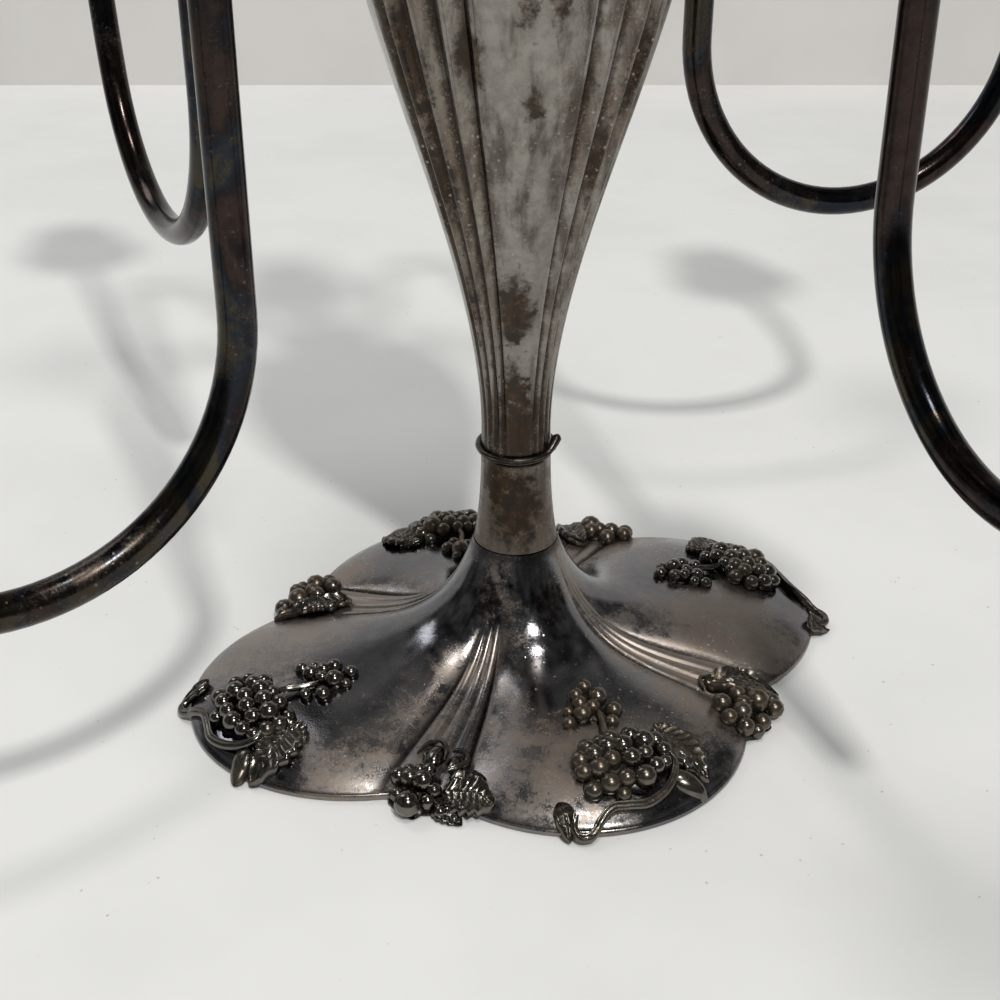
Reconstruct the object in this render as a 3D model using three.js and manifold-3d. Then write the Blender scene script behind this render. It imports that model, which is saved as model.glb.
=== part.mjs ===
// A five-light candelabrum in silver plate: a lobed foot with grape mounts, a fluted baluster body, and a
// branch of four bent tube arms round a centre light, which plugs into the top of the body.
// Millimetres, +Z up. The origin is on the table under the middle of the foot, and the viewer is at -Y.
import * as THREE from 'three'
import { mergeVertices } from 'three/addons/utils/BufferGeometryUtils.js'
import Module from 'manifold-3d'

const wasm = await Module()
wasm.setup()

// Fits
const gap = 0.3 // between pieces that touch or slide on each other

// Foot
const lobeAzimuth = 25 // first big lobe, in degrees from +X towards +Y
const lobeReaches = [110, 90, 110, 97] // right, back, left and front lobes, from the axis to the rim
const notchRadius = 77 // where the curves of two neighbouring lobes would meet
const fanRadius = 85 // rim of the narrow reeded fan between two lobes
const fanHalfAngle = 8
const footWall = 1.2
const rimBand = 2.5 // plain upright edge that stands on the table
const domeHeight = 12.5 // of a lobe's crown over the rim band
const flareReach = 0.13 // how fast the neck spreads into a lobe, as a share of the way to the rim
const valleyHeight = 5
const valleyReach = 0.17
const fanRidge = 1.6
const footOffsets = [-45, -41, -37, -32, -26, -18, -9, 0, 9, 18, 26, 32, 37, 41] // slices from a lobe's tip
const footRows = 7

// Neck collar, waist ring and body
const collarBottom = 47
const collarTop = 78.5
const collarBottomRadius = 13.3
const collarTopRadius = 10.9
const collarWall = 1.2
const spigotHeight = 8
const ringHeight = 80
const ringWire = 1
const bodyTop = 303
const bodyBellyHeight = 268
const bodyBellyRadius = 51
const bodyWaistRadius = 10.9
const bodyShoulderRadius = 32
const bodyWall = 1.4
const panelAzimuth = 5 // middle of the first broad panel
const panelWidth = 50 // degrees; three reeds fill the rest of each quarter
const grooveDepth = 0.05 // of the reeds' grooves, as a share of the body's radius
const capHeight = 19
const neckRadius = 14.5

// Rod that ties foot, collar and body together
const rodRadius = 3
const nutAcross = 12
const nutHeight = 6
const washerHeight = 2
const rodEnd = 5 // of rod past each nut

// Socket in the body's neck, and the branch that plugs into it
const plugRadius = 9.4
const plugLength = 36
const socketWall = 1.6
const socketFloor = 4
const studRadius = 4
const flangeHeight = 2
const seatWasherHeight = 1.2
const hubRadius = 23
const hubHeight = 28
const columnHeight = 58
const columnRadius = 11

// Arms
const armRadius = 4.85
const armBore = 3.9
const armSockets = 11 // depth of the arm's root in the hub
const armStraight = 23 // of arm from its root, through the hub's wall and its collar
const legRadius = 108 // from the axis to the straight leg of an arm
const legAzimuth = 56
const legOffsets = [0, 8, -5, 5] // hand bending turns each leg a little, in degrees
const bendTurn = -42 // of the low bend's plane from the radius through its leg
const bendTurns = [0, 5, 28, 0] // hand bending again, added to bendTurn
const bendRadius = 60
const bendHeight = 115 // centre line of the bend's lowest point
const bendRises = [11, 3, -20, 0] // each arm hangs a little higher or lower
const crestHeight = 392
const crestRadius = 42
const bendOpening = 15 // degrees that the bend stops short of upright
const tipSpread = 9
const tipHeight = 285
const armSides = 8
const armSteps = 28
const collarRadius = 8
const collarLength = 5

// Lights
const bossRadius = 7.5
const bossHeight = 6
const bossSpigot = 9
const screwRadius = 2
const screwHeadRadius = 4.5
const screwHeadHeight = 2.2
const panRadius = 31
const panDish = 6
const panWall = 1.3
const panFlat = 12
const cupHeight = 36
const cupRadius = 16
const cupWaist = 9
const cupFloor = 6
const candleRadius = 11
const nozzleWall = 1.1
const nozzleDepth = 25
const nozzleFlange = 23
const roundSides = 16

// Grape mounts
const grapePitch = 7.4 // from one grape to the next
const grapeLift = 1.3 // of the creases between the grapes, over the foot
const clusterBulge = 2.8 // that the middle of a cluster stands up more than its edge
const mountClearance = 0.8 // between the mounts and the table
const overhangFall = 0.3 // slope of a mount where it hangs over the rim
const clusterInsets = [19, 17, 16, 17] // from each lobe's rim to the middle of its cluster
const clusterTurns = [2, -5, 5, 0] // degrees that each cluster sits off the lobe's tip
const clusterLength = 17 // half the cluster, along the rim
const clusterWidth = 12
const budInset = 27 // from the cluster to the small bunch further in
const budSide = -2 // along the rim from the cluster to the small bunch
const budSize = 7.5
const strandEnds = [-35, -22, -22, -22] // along the rim to the knob that ends each mount's stem
const fanInsets = [4, 9, 2, 4] // from each fan's rim to the middle of its mount
const fanTurns = [-4, -1, 4, -8] // degrees that each mount sits off the middle of its fan
const fanBunchLength = 13
const fanBunchWidth = 10
const stemRadius = 1.3
const knobRadius = 2.4
const leafRadius = 5.5

const degrees = THREE.MathUtils.degToRad
const silver = { color: 0x6b645e, roughness: 0.32, metalness: 1 }
const darkSilver = { color: 0x3b3834, roughness: 0.38, metalness: 1 }
const brass = { color: 0x9a7b45, roughness: 0.45, metalness: 1 }
const steel = { color: 0x77736c, roughness: 0.5, metalness: 1 }

const candelabrum = new THREE.Group()

function add(name, geometry, look, parent = candelabrum) {
  const mesh = new THREE.Mesh(geometry, new THREE.MeshStandardMaterial(look))
  mesh.name = name
  parent.add(mesh)
  return mesh
}

function welded(geometry) {
  geometry.deleteAttribute('normal')
  geometry.deleteAttribute('uv')
  return mergeVertices(geometry, 1e-4)
}

// Turns the faces round if they point inwards
function facingOut(geometry) {
  const p = geometry.getAttribute('position')
  const index = geometry.getIndex()
  const [a, b, c] = [new THREE.Vector3(), new THREE.Vector3(), new THREE.Vector3()]
  let volume = 0
  for (let i = 0; i < index.count; i += 3) {
    a.fromBufferAttribute(p, index.getX(i))
    b.fromBufferAttribute(p, index.getX(i + 1))
    c.fromBufferAttribute(p, index.getX(i + 2))
    volume += a.dot(b.cross(c))
  }
  if (volume > 0) return geometry
  for (let i = 0; i < index.count; i += 3) {
    const kept = index.getX(i)
    index.setX(i, index.getX(i + 1))
    index.setX(i + 1, kept)
  }
  return geometry
}

function toSolid(geometry) {
  const shape = facingOut(welded(geometry))
  return new wasm.Manifold(new wasm.Mesh({
    numProp: 3,
    vertProperties: new Float32Array(shape.getAttribute('position').array),
    triVerts: new Uint32Array(shape.getIndex().array),
  }))
}

function toGeometry(solid) {
  const mesh = solid.getMesh()
  const geometry = new THREE.BufferGeometry()
  geometry.setAttribute('position', new THREE.BufferAttribute(mesh.vertProperties, 3))
  geometry.setIndex(new THREE.BufferAttribute(mesh.triVerts, 1))
  geometry.computeVertexNormals()
  return geometry
}

// A turned piece about +Z from [radius, height] points, which start and end on the axis or close on themselves
function turned(points, sides = roundSides) {
  const outline = points.map(([radius, height]) => new THREE.Vector2(radius, height))
  return facingOut(welded(new THREE.LatheGeometry(outline, sides).rotateX(Math.PI / 2)))
}

function ringOf(points, sides = roundSides) {
  return turned([...points, points[0]], sides)
}

// A shell whose closed section changes round the axis: sectionAt(azimuth) gives [radius, height] points
function shell(azimuths, sectionAt) {
  const positions = []
  const indices = []
  const sections = azimuths.map(sectionAt)
  const rows = sections[0].length
  sections.forEach((section, slice) => {
    const angle = degrees(azimuths[slice])
    section.forEach(([radius, height]) => {
      positions.push(radius * Math.cos(angle), radius * Math.sin(angle), height)
    })
  })
  const at = (slice, row) => (slice % azimuths.length) * rows + (row % rows)
  for (let slice = 0; slice < azimuths.length; slice += 1) {
    for (let row = 0; row < rows; row += 1) {
      const [a, b] = [at(slice, row), at(slice + 1, row)]
      const [c, d] = [at(slice + 1, row + 1), at(slice, row + 1)]
      indices.push(a, b, c, a, c, d)
    }
  }
  const geometry = new THREE.BufferGeometry()
  geometry.setAttribute('position', new THREE.Float32BufferAttribute(positions, 3))
  geometry.setIndex(indices)
  facingOut(geometry)
  geometry.computeVertexNormals()
  return geometry
}

// The inner side of a sheet-metal outline, a wall's thickness away along the outline's own normal
function innerSide(outline, wall) {
  return outline.map(([radius, height], i) => {
    const [r0, z0] = outline[Math.max(i - 1, 0)]
    const [r1, z1] = outline[Math.min(i + 1, outline.length - 1)]
    const length = Math.hypot(r1 - r0, z1 - z0)
    return [radius - wall * Math.abs(z1 - z0) / length, height - wall * Math.abs(r1 - r0) / length]
  })
}

// Foot: from the lobe's tip, fromTip runs from -45 to 45 degrees, and the fan is in the last fanHalfAngle
function fromTip(azimuth) {
  const turn = (azimuth - lobeAzimuth + 45) / 90
  return (turn - Math.floor(turn)) * 90 - 45
}

function lobeIndex(azimuth) {
  return (Math.floor((azimuth - lobeAzimuth + 45) / 90) + 4) % 4
}

function rimRadius(azimuth) {
  const offset = fromTip(azimuth)
  const lobe = notchRadius + (lobeReaches[lobeIndex(azimuth)] - notchRadius) * Math.cos(2 * degrees(offset))
  const fan = fanRadius * (1 - 0.03 * ((45 - Math.abs(offset)) / fanHalfAngle) ** 2)
  return Math.max(lobe, fan)
}

const footNeckRadius = collarBottomRadius + gap
const footNeckHeight = collarBottom - gap

function footHeight(azimuth, share) {
  const offset = Math.abs(fromTip(azimuth))
  const bowl = Math.max(0, 1 - share ** 3) ** 0.7
  const rise = footNeckHeight - rimBand
  const crown = domeHeight * bowl + (rise - domeHeight) * Math.exp(-share / flareReach)
  const valley = valleyHeight * bowl + (rise - valleyHeight) * Math.exp(-share / valleyReach)
  const puff = Math.sqrt(Math.max(0, 1 - (offset / (45 - fanHalfAngle)) ** 2.5))
  const ridge = fanRidge * Math.max(0, 1 - (45 - offset) / fanHalfAngle) * bowl * Math.min(1, share * 4)
  return rimBand + valley + (crown - valley) * puff + ridge
}

function footRadius(azimuth, share) {
  return footNeckRadius + (rimRadius(azimuth) - footNeckRadius) * share
}

function footShare(azimuth, radius) {
  return (radius - footNeckRadius) / (rimRadius(azimuth) - footNeckRadius)
}

function footOutline(azimuth) {
  const outline = [[rimRadius(azimuth), 0]]
  for (let row = 0; row <= footRows; row += 1) {
    const share = Math.cos((Math.PI / 2) * (row / footRows)) ** 1.35
    outline.push([footRadius(azimuth, share), footHeight(azimuth, share)])
  }
  return outline
}

function collarRadiusAt(height) {
  const share = (height - collarBottom) / (collarTop - collarBottom)
  return collarTopRadius + (collarBottomRadius - collarTopRadius) * (1 - share) ** 2.2
}

// The foot ends in a short spigot inside the collar
const spigotTop = footNeckHeight + spigotHeight
const spigotBottomRadius = collarRadiusAt(collarBottom) - collarWall - 2 * gap
const spigotTopRadius = collarRadiusAt(spigotTop) - collarWall - 2 * gap
const footAzimuths = [0, 1, 2, 3].flatMap((k) => footOffsets.map((offset) => lobeAzimuth + 90 * k + offset))
add('foot', shell(footAzimuths, (azimuth) => {
  const outside = footOutline(azimuth)
  const under = innerSide(outside, footWall)
  under[0] = [outside[0][0] - footWall, 0]
  under[under.length - 1] = [spigotBottomRadius - footWall, footNeckHeight - footWall]
  const spigot = [
    [spigotBottomRadius, footNeckHeight],
    [spigotTopRadius, spigotTop],
    [spigotTopRadius - footWall, spigotTop],
  ]
  return [...outside, ...spigot, ...under.reverse()]
}), silver)

// What the mounts are cut by: everything up to a gap over the foot's skin, and over the table round it
const underMounts = toSolid(shell(footAzimuths, (azimuth) => {
  const outside = footOutline(azimuth)
  const lifted = outside.map(([radius, height]) => [radius + gap, height + gap])
  const table = [[2 * fanRadius, -5], [2 * fanRadius, mountClearance], [lifted[0][0], mountClearance]]
  return [...table, ...lifted.slice(1), [5, footNeckHeight], [5, -5]]
}))

// Plain neck collar over the foot's spigot
const collarHeights = [0, 0.2, 0.45, 0.75, 1].map((share) => collarBottom + (collarTop - collarBottom) * share)
const collarOutside = collarHeights.map((height) => [collarRadiusAt(height), height])
add('neck_collar', ringOf([
  ...collarOutside,
  ...collarOutside.map(([radius, height]) => [radius - collarWall, height]).reverse(),
], 20), silver)

// Fluted body: four broad panels, and three reeds between each two
const bodyBottom = collarTop + gap
const reedWidth = (90 - panelWidth) / 3
const quarter = [-0.5, -0.25, 0, 0.25, 0.5].map((share) => share * panelWidth)
for (let reed = 0; reed < 3; reed += 1) {
  quarter.push(panelWidth / 2 + reedWidth * (reed + 0.5))
  if (reed < 2) quarter.push(panelWidth / 2 + reedWidth * (reed + 1))
}
const bodyAzimuths = [0, 1, 2, 3].flatMap((k) => quarter.map((angle) => panelAzimuth + 90 * k + angle))

function bodyRadius(height) {
  if (height <= bodyBellyHeight) {
    const share = (height - bodyBottom) / (bodyBellyHeight - bodyBottom)
    const swell = share ** 2 * (3 - 2 * share)
    const lag = 0.55 * share ** 1.2 * (1 - share) ** 1.6
    return bodyWaistRadius + (bodyBellyRadius - bodyWaistRadius) * (swell - lag * 0.42)
  }
  const share = (height - bodyBellyHeight) / (bodyTop - bodyBellyHeight)
  return bodyShoulderRadius + (bodyBellyRadius - bodyShoulderRadius) * Math.sqrt(1 - share ** 2.4)
}

function fluteDepth(azimuth) {
  const turn = (azimuth - panelAzimuth + panelWidth / 2) / 90
  const place = (turn - Math.floor(turn)) * 90
  if (place <= panelWidth) return 0.6 * Math.abs(place / panelWidth - 0.5) ** 2 * 4
  const reed = ((place - panelWidth) / reedWidth) % 1
  return reed < 0.01 || reed > 0.99 ? 1 : 0.15
}

function bodyOutline(azimuth, rows) {
  const outline = []
  for (let row = 0; row <= rows; row += 1) {
    const height = bodyBottom + (bodyTop - bodyBottom) * (row / rows)
    const fade = Math.min(1, (height - bodyBottom) / 12) * Math.min(1, (bodyTop - height) / 12)
    outline.push([bodyRadius(height) * (1 - grooveDepth * fluteDepth(azimuth) * fade), height])
  }
  return outline
}
add('fluted_body', shell(bodyAzimuths, (azimuth) => {
  const inside = bodyOutline(azimuth, 6).map(([radius, height]) => [radius - bodyWall, height])
  return [...bodyOutline(azimuth, 14), ...inside.reverse()]
}), silver)

// Waist ring: one wire wound round the seam, its two ends crossing and standing off at the right
class WoundWire extends THREE.Curve {
  getPoint(share) {
    const turn = 2 * Math.PI * (1.06 * share) - 0.3
    const radius = collarTopRadius + gap + ringWire + 0.1 + 1.4 * Math.max(0, share - 0.93) * 14
    const height = ringHeight - 1.2 + 2.9 * Math.max(0, share - 0.6) ** 1.3 * 3
    return new THREE.Vector3(radius * Math.cos(turn), radius * Math.sin(turn), height)
  }
}

function disc(radius, sides) {
  const shape = new THREE.Shape()
  for (let side = 0; side < sides; side += 1) {
    const angle = (2 * Math.PI * side) / sides
    const [x, y] = [radius * Math.cos(angle), radius * Math.sin(angle)]
    if (side === 0) shape.moveTo(x, y)
    else shape.lineTo(x, y)
  }
  shape.closePath()
  return shape
}

function bar(shape, path, steps) {
  return facingOut(welded(new THREE.ExtrudeGeometry(shape, { steps, extrudePath: path, bevelEnabled: false })))
}
add('waist_ring', bar(disc(ringWire, 6), new WoundWire(), 28), darkSilver)

// Shoulder cap over the body, ending in the neck that the branch stands on
const capBottom = bodyTop + gap
const neckTop = capBottom + capHeight
const capOutside = [
  [bodyShoulderRadius + 1.5, capBottom],
  [bodyShoulderRadius + 1.5, capBottom + 2],
  [bodyShoulderRadius - 3, capBottom + 3.5],
  [neckRadius + 6, capBottom + 8],
  [neckRadius, capBottom + 14],
  [neckRadius, neckTop],
]
const socketRadius = plugRadius + gap + socketWall
const capBore = socketRadius + gap
add('shoulder_cap', ringOf([
  ...capOutside,
  [capBore, neckTop],
  [capBore, capBottom + 12],
  [neckRadius + 3, capBottom + 6],
  [bodyShoulderRadius - 4, capBottom + 1.6],
  [bodyShoulderRadius - 4, capBottom],
], 20), silver)

// Socket sleeve hanging in the neck, with a floor that the tie rod comes through
const sleeveTop = neckTop + gap + flangeHeight
const plugBottom = sleeveTop - plugLength
const sleeveFloor = plugBottom - rodEnd - nutHeight - 2 * gap
const boltBore = rodRadius + gap
add('socket_sleeve', ringOf([
  [boltBore, sleeveFloor - socketFloor],
  [socketRadius, sleeveFloor - socketFloor],
  [socketRadius, neckTop + gap],
  [neckRadius + 0.8, neckTop + gap],
  [neckRadius + 0.8, sleeveTop],
  [plugRadius + gap, sleeveTop],
  [plugRadius + gap, sleeveFloor],
  [boltBore, sleeveFloor],
]), brass)

// Tie rod with a washer and nut under the foot and a nut in the socket
const washerTop = 36
const washerRadius = 15
const nutRadius = nutAcross / Math.sqrt(3)
const lowerNutTop = washerTop - washerHeight - gap
const rodBottom = lowerNutTop - nutHeight - rodEnd
const upperNutBottom = sleeveFloor + gap
const rodTop = upperNutBottom + nutHeight + rodEnd - gap

function upright(radius, bottom, top, sides = 12) {
  return welded(new THREE.CylinderGeometry(radius, radius, top - bottom, sides)
    .rotateX(Math.PI / 2).translate(0, 0, (bottom + top) / 2))
}

function nut(bottom) {
  const blank = toSolid(upright(nutRadius, bottom, bottom + nutHeight, 6))
  return toGeometry(blank.subtract(toSolid(upright(boltBore, bottom - 1, bottom + nutHeight + 1))))
}
add('tie_rod', upright(rodRadius, rodBottom, rodTop), steel)
add('rod_nut_lower', nut(lowerNutTop - nutHeight), brass)
add('rod_nut_upper', nut(upperNutBottom), brass)
add('rod_washer', ringOf([
  [boltBore, washerTop - washerHeight],
  [washerRadius, washerTop - washerHeight],
  [washerRadius - 1, washerTop],
  [boltBore, washerTop],
]), brass)

// Grape mounts on the lobes, and leaf mounts on the fans between them
function onFoot(azimuth, radius, lift = 0) {
  const angle = degrees(azimuth)
  const share = Math.min(footShare(azimuth, radius), 1)
  const height = footHeight(azimuth, share) + lift - Math.max(0, radius - rimRadius(azimuth)) * overhangFall
  return new THREE.Vector3(radius * Math.cos(angle), radius * Math.sin(angle), height)
}

// A point on the foot, outward along the radius of azimuth by out and sideways along the rim by along
function beside(azimuth, radius, out, along, lift) {
  const reach = Math.hypot(radius + out, along)
  const turn = THREE.MathUtils.radToDeg(Math.atan2(along, radius + out))
  return onFoot(azimuth + turn, reach, lift)
}

function lump(radius, stretch, azimuth, centre) {
  return toSolid(new THREE.IcosahedronGeometry(radius, 0)
    .scale(...stretch).rotateZ(degrees(azimuth)).translate(centre.x, centre.y, centre.z))
}

function leaf(azimuth, radius, out, along, stretch) {
  return lump(leafRadius, stretch, azimuth, beside(azimuth, radius, out, along, 1.5))
}

// An oval of grapes cast in one, each a faceted bump in its own six-sided cell
function bunch(azimuth, radius, halfWidth, halfLength) {
  const cells = []
  const [rows, places] = [Math.ceil(halfWidth / grapePitch), Math.ceil(halfLength / grapePitch)]
  for (let row = -rows; row <= rows; row += 1) {
    for (let place = -places; place <= places; place += 1) {
      const [out, along] = [row * grapePitch * Math.sin(Math.PI / 3), (place + (row % 2 ? 0.5 : 0)) * grapePitch]
      if ((out / halfWidth) ** 2 + (along / halfLength) ** 2 < 1) cells.push([out, along])
    }
  }
  const positions = []
  const put = (out, along, lift) => positions.push(...beside(azimuth, radius, out, along, lift).toArray())
  const crease = (out, along) => {
    const spread = (out / halfWidth) ** 2 + (along / halfLength) ** 2
    return grapeLift + clusterBulge * Math.max(0, 1 - spread)
  }
  cells.forEach(([out, along]) => {
    const lift = crease(out, along)
    for (let side = 0; side < 6; side += 1) {
      const [here, next] = [side, side + 1].map((corner) => degrees(60 * corner))
      const corner = (angle, reach) => [out + reach * Math.cos(angle), along + reach * Math.sin(angle)]
      const [a, b] = [corner(here, grapePitch / Math.sqrt(3)), corner(next, grapePitch / Math.sqrt(3))]
      const [c, d] = [corner(here, grapePitch * 0.34), corner(next, grapePitch * 0.34)]
      const top = (point) => put(...point, crease(...point))
      const shoulder = (point) => put(...point, lift + grapePitch * 0.37)
      const under = (point) => put(...point, -1)
      put(out, along, lift + grapePitch / 2)
      shoulder(c)
      shoulder(d)
      shoulder(c)
      top(a)
      top(b)
      shoulder(c)
      top(b)
      shoulder(d)
      under([out, along])
      under(b)
      under(a)
      const middle = (here + next) / 2
      const beyond = corner(middle, grapePitch)
      const shared = cells.some((cell) => Math.hypot(cell[0] - beyond[0], cell[1] - beyond[1]) < 0.1)
      if (!shared) {
        top(a)
        under(a)
        under(b)
        top(a)
        under(b)
        top(b)
      }
    }
  })
  const geometry = new THREE.BufferGeometry()
  geometry.setAttribute('position', new THREE.Float32BufferAttribute(positions, 3))
  return toSolid(geometry)
}

// Joined into one casting and cut to the foot's skin
function seated(solids) {
  const joined = solids.reduce((sum, solid) => sum.add(solid))
  const pieces = joined.subtract(underMounts).decompose()
  return toGeometry(pieces.reduce((best, piece) => (piece.volume() > best.volume() ? piece : best)))
}

function vine(azimuth, radius, points) {
  const places = points.map(([out, along, lift]) => beside(azimuth, radius, out, along, lift))
  return toSolid(bar(disc(stemRadius, 5), new THREE.CatmullRomCurve3(places), points.length * 2 - 2))
}

const sides = ['right', 'back', 'left', 'front']
sides.forEach((side, i) => {
  const azimuth = lobeAzimuth + 90 * i + clusterTurns[i]
  const radius = lobeReaches[i] - clusterInsets[i]
  const strandEnd = [10, strandEnds[i], 1.5]
  const budTurn = THREE.MathUtils.radToDeg(Math.atan2(budSide, radius - budInset))
  add(`grape_mount_${side}`, seated([
    bunch(azimuth, radius, clusterWidth, clusterLength),
    bunch(azimuth + budTurn, Math.hypot(radius - budInset, budSide), budSize, budSize),
    leaf(azimuth, radius, 6, clusterLength, [1, 1.4, 0.45]),
    vine(azimuth, radius, [[-budInset, budSide, 1.5], [-budInset / 2, budSide / 2, 1.5], [0, 0, 1.5]]),
    vine(azimuth, radius, [[2, 15, 1.5], [11, 8, 1.5], [13, -4, 1.5], [13.5, -16, 1.5], strandEnd]),
    lump(knobRadius, [1, 1, 1], azimuth, beside(azimuth, radius, ...strandEnd)),
  ]), darkSilver)
})

const corners = ['back_right', 'back_left', 'front_left', 'front_right']
corners.forEach((corner, i) => {
  const azimuth = lobeAzimuth + 45 + 90 * i + fanTurns[i]
  const radius = fanRadius - fanInsets[i]
  add(`notch_mount_${corner}`, seated([
    bunch(azimuth, radius, fanBunchWidth, fanBunchLength),
    leaf(azimuth, radius, -7, 9, [1.4, 0.9, 0.45]),
    leaf(azimuth, radius, -7, -9, [1.4, 0.9, 0.45]),
  ]), darkSilver)
})

// Branch: plug, loose seat washer, hub and centre column, held together by the plug's stud
const washerBottom = sleeveTop + gap
const hubBottom = washerBottom + seatWasherHeight + gap
const armRootHeight = hubBottom + hubHeight * 0.45
const hubTop = hubBottom + hubHeight
const columnBottom = hubTop + gap
const columnTop = columnBottom + columnHeight
const studTop = columnBottom + 12
add('seat_washer', ringOf([
  [plugRadius + gap, washerBottom],
  [neckRadius + 1.5, washerBottom],
  [neckRadius + 1.5, washerBottom + seatWasherHeight],
  [plugRadius + gap, washerBottom + seatWasherHeight],
]), brass)
add('branch_plug', turned([
  [0, plugBottom],
  [plugRadius - 1, plugBottom],
  [plugRadius, plugBottom + 1],
  [plugRadius, hubBottom + 3],
  [studRadius, hubBottom + 3],
  [studRadius, studTop],
  [0, studTop],
]), brass)

const studBore = studRadius + gap
const hubBlank = toSolid(ringOf([
  [plugRadius + gap, hubBottom],
  [hubRadius - 6, hubBottom],
  [hubRadius - 2, hubBottom + 2],
  [hubRadius, hubBottom + 6],
  [hubRadius, hubBottom + 20],
  [hubRadius - 3, hubBottom + 23],
  [columnRadius + 2, hubTop],
  [studBore, hubTop],
  [studBore, hubBottom + 3 + gap],
  [plugRadius + gap, hubBottom + 3 + gap],
], 20))
const legAzimuths = legOffsets.map((offset, i) => legAzimuth + 90 * i + offset)
const hub = legAzimuths.reduce((solid, azimuth) => {
  const length = armSockets + 10
  const bore = new THREE.CylinderGeometry(armRadius + gap, armRadius + gap, length, 16)
    .rotateZ(Math.PI / 2).translate(hubRadius - armSockets + length / 2, 0, armRootHeight)
    .rotateZ(degrees(azimuth))
  return solid.subtract(toSolid(bore))
}, hubBlank)
add('branch_hub', toGeometry(hub), silver)
const columnFoot = [[studBore, columnBottom], [columnRadius + 2, columnBottom], [columnRadius + 2, columnBottom + 3]]
const columnKnop = [0.16, 0.3, 0.42, 0.55, 0.7, 0.85].map((share) => [
  columnRadius * (0.62 + 0.38 * Math.sin(Math.PI * share) ** 4),
  columnBottom + columnHeight * share,
])
add('centre_column', ringOf([
  ...columnFoot,
  ...columnKnop,
  [bossRadius, columnTop],
  [screwRadius + gap, columnTop],
  [screwRadius + gap, columnTop - 14],
  [studBore, columnTop - 15],
]), silver)

// Arms: out of the hub, over a crest, down the straight leg, round the low bend and up to the light
function armPath(turn, rise) {
  const out = new THREE.Vector3(Math.cos(degrees(turn)), Math.sin(degrees(turn)), 0)
  const root = new THREE.Vector3(hubRadius - armSockets + gap, 0, armRootHeight)
  const crest = new THREE.Vector3(legRadius - crestRadius, 0, crestHeight)
  const legTop = new THREE.Vector3(legRadius, 0, crestHeight - crestRadius)
  const legFoot = new THREE.Vector3(legRadius, 0, bendHeight + rise + bendRadius)
  const onBend = (angle) => legFoot.clone()
    .addScaledVector(out, bendRadius * (1 - Math.cos(degrees(angle))))
    .add(new THREE.Vector3(0, 0, -bendRadius * Math.sin(degrees(angle))))
  const path = new THREE.CurvePath()
  const neck = root.clone().add(new THREE.Vector3(armStraight, 0, 0))
  path.add(new THREE.LineCurve3(root, neck))
  path.add(new THREE.CubicBezierCurve3(
    neck,
    new THREE.Vector3(neck.x + 16, 0, armRootHeight),
    new THREE.Vector3(crest.x - 20, 0, crestHeight),
    crest,
  ))
  const roundness = 0.5523 // of a quarter circle drawn as one cubic
  path.add(new THREE.CubicBezierCurve3(
    crest,
    new THREE.Vector3(crest.x + roundness * crestRadius, 0, crestHeight),
    new THREE.Vector3(legRadius, 0, legTop.z + roundness * crestRadius),
    legTop,
  ))
  path.add(new THREE.LineCurve3(legTop, legFoot))
  const bendEnd = 180 - bendOpening
  const bend = Array.from({ length: 12 }, (_, i) => onBend((bendEnd * i) / 11))
  path.add(new THREE.CatmullRomCurve3(bend))
  const start = bend[bend.length - 1]
  const lean = new THREE.Vector3(0, 0, Math.cos(degrees(bendOpening)))
    .addScaledVector(out, Math.sin(degrees(bendOpening)))
  const tip = legFoot.clone().addScaledVector(out, 2 * bendRadius + tipSpread).setZ(tipHeight)
  path.add(new THREE.CubicBezierCurve3(
    start,
    start.clone().addScaledVector(lean, tipSpread * 2.5),
    tip.clone().setZ(legFoot.z + tipSpread * 4),
    tip,
  ))
  return path
}

const armSection = disc(armRadius, armSides)
armSection.holes.push(new THREE.Path(disc(armBore, 6).getPoints()))

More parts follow.
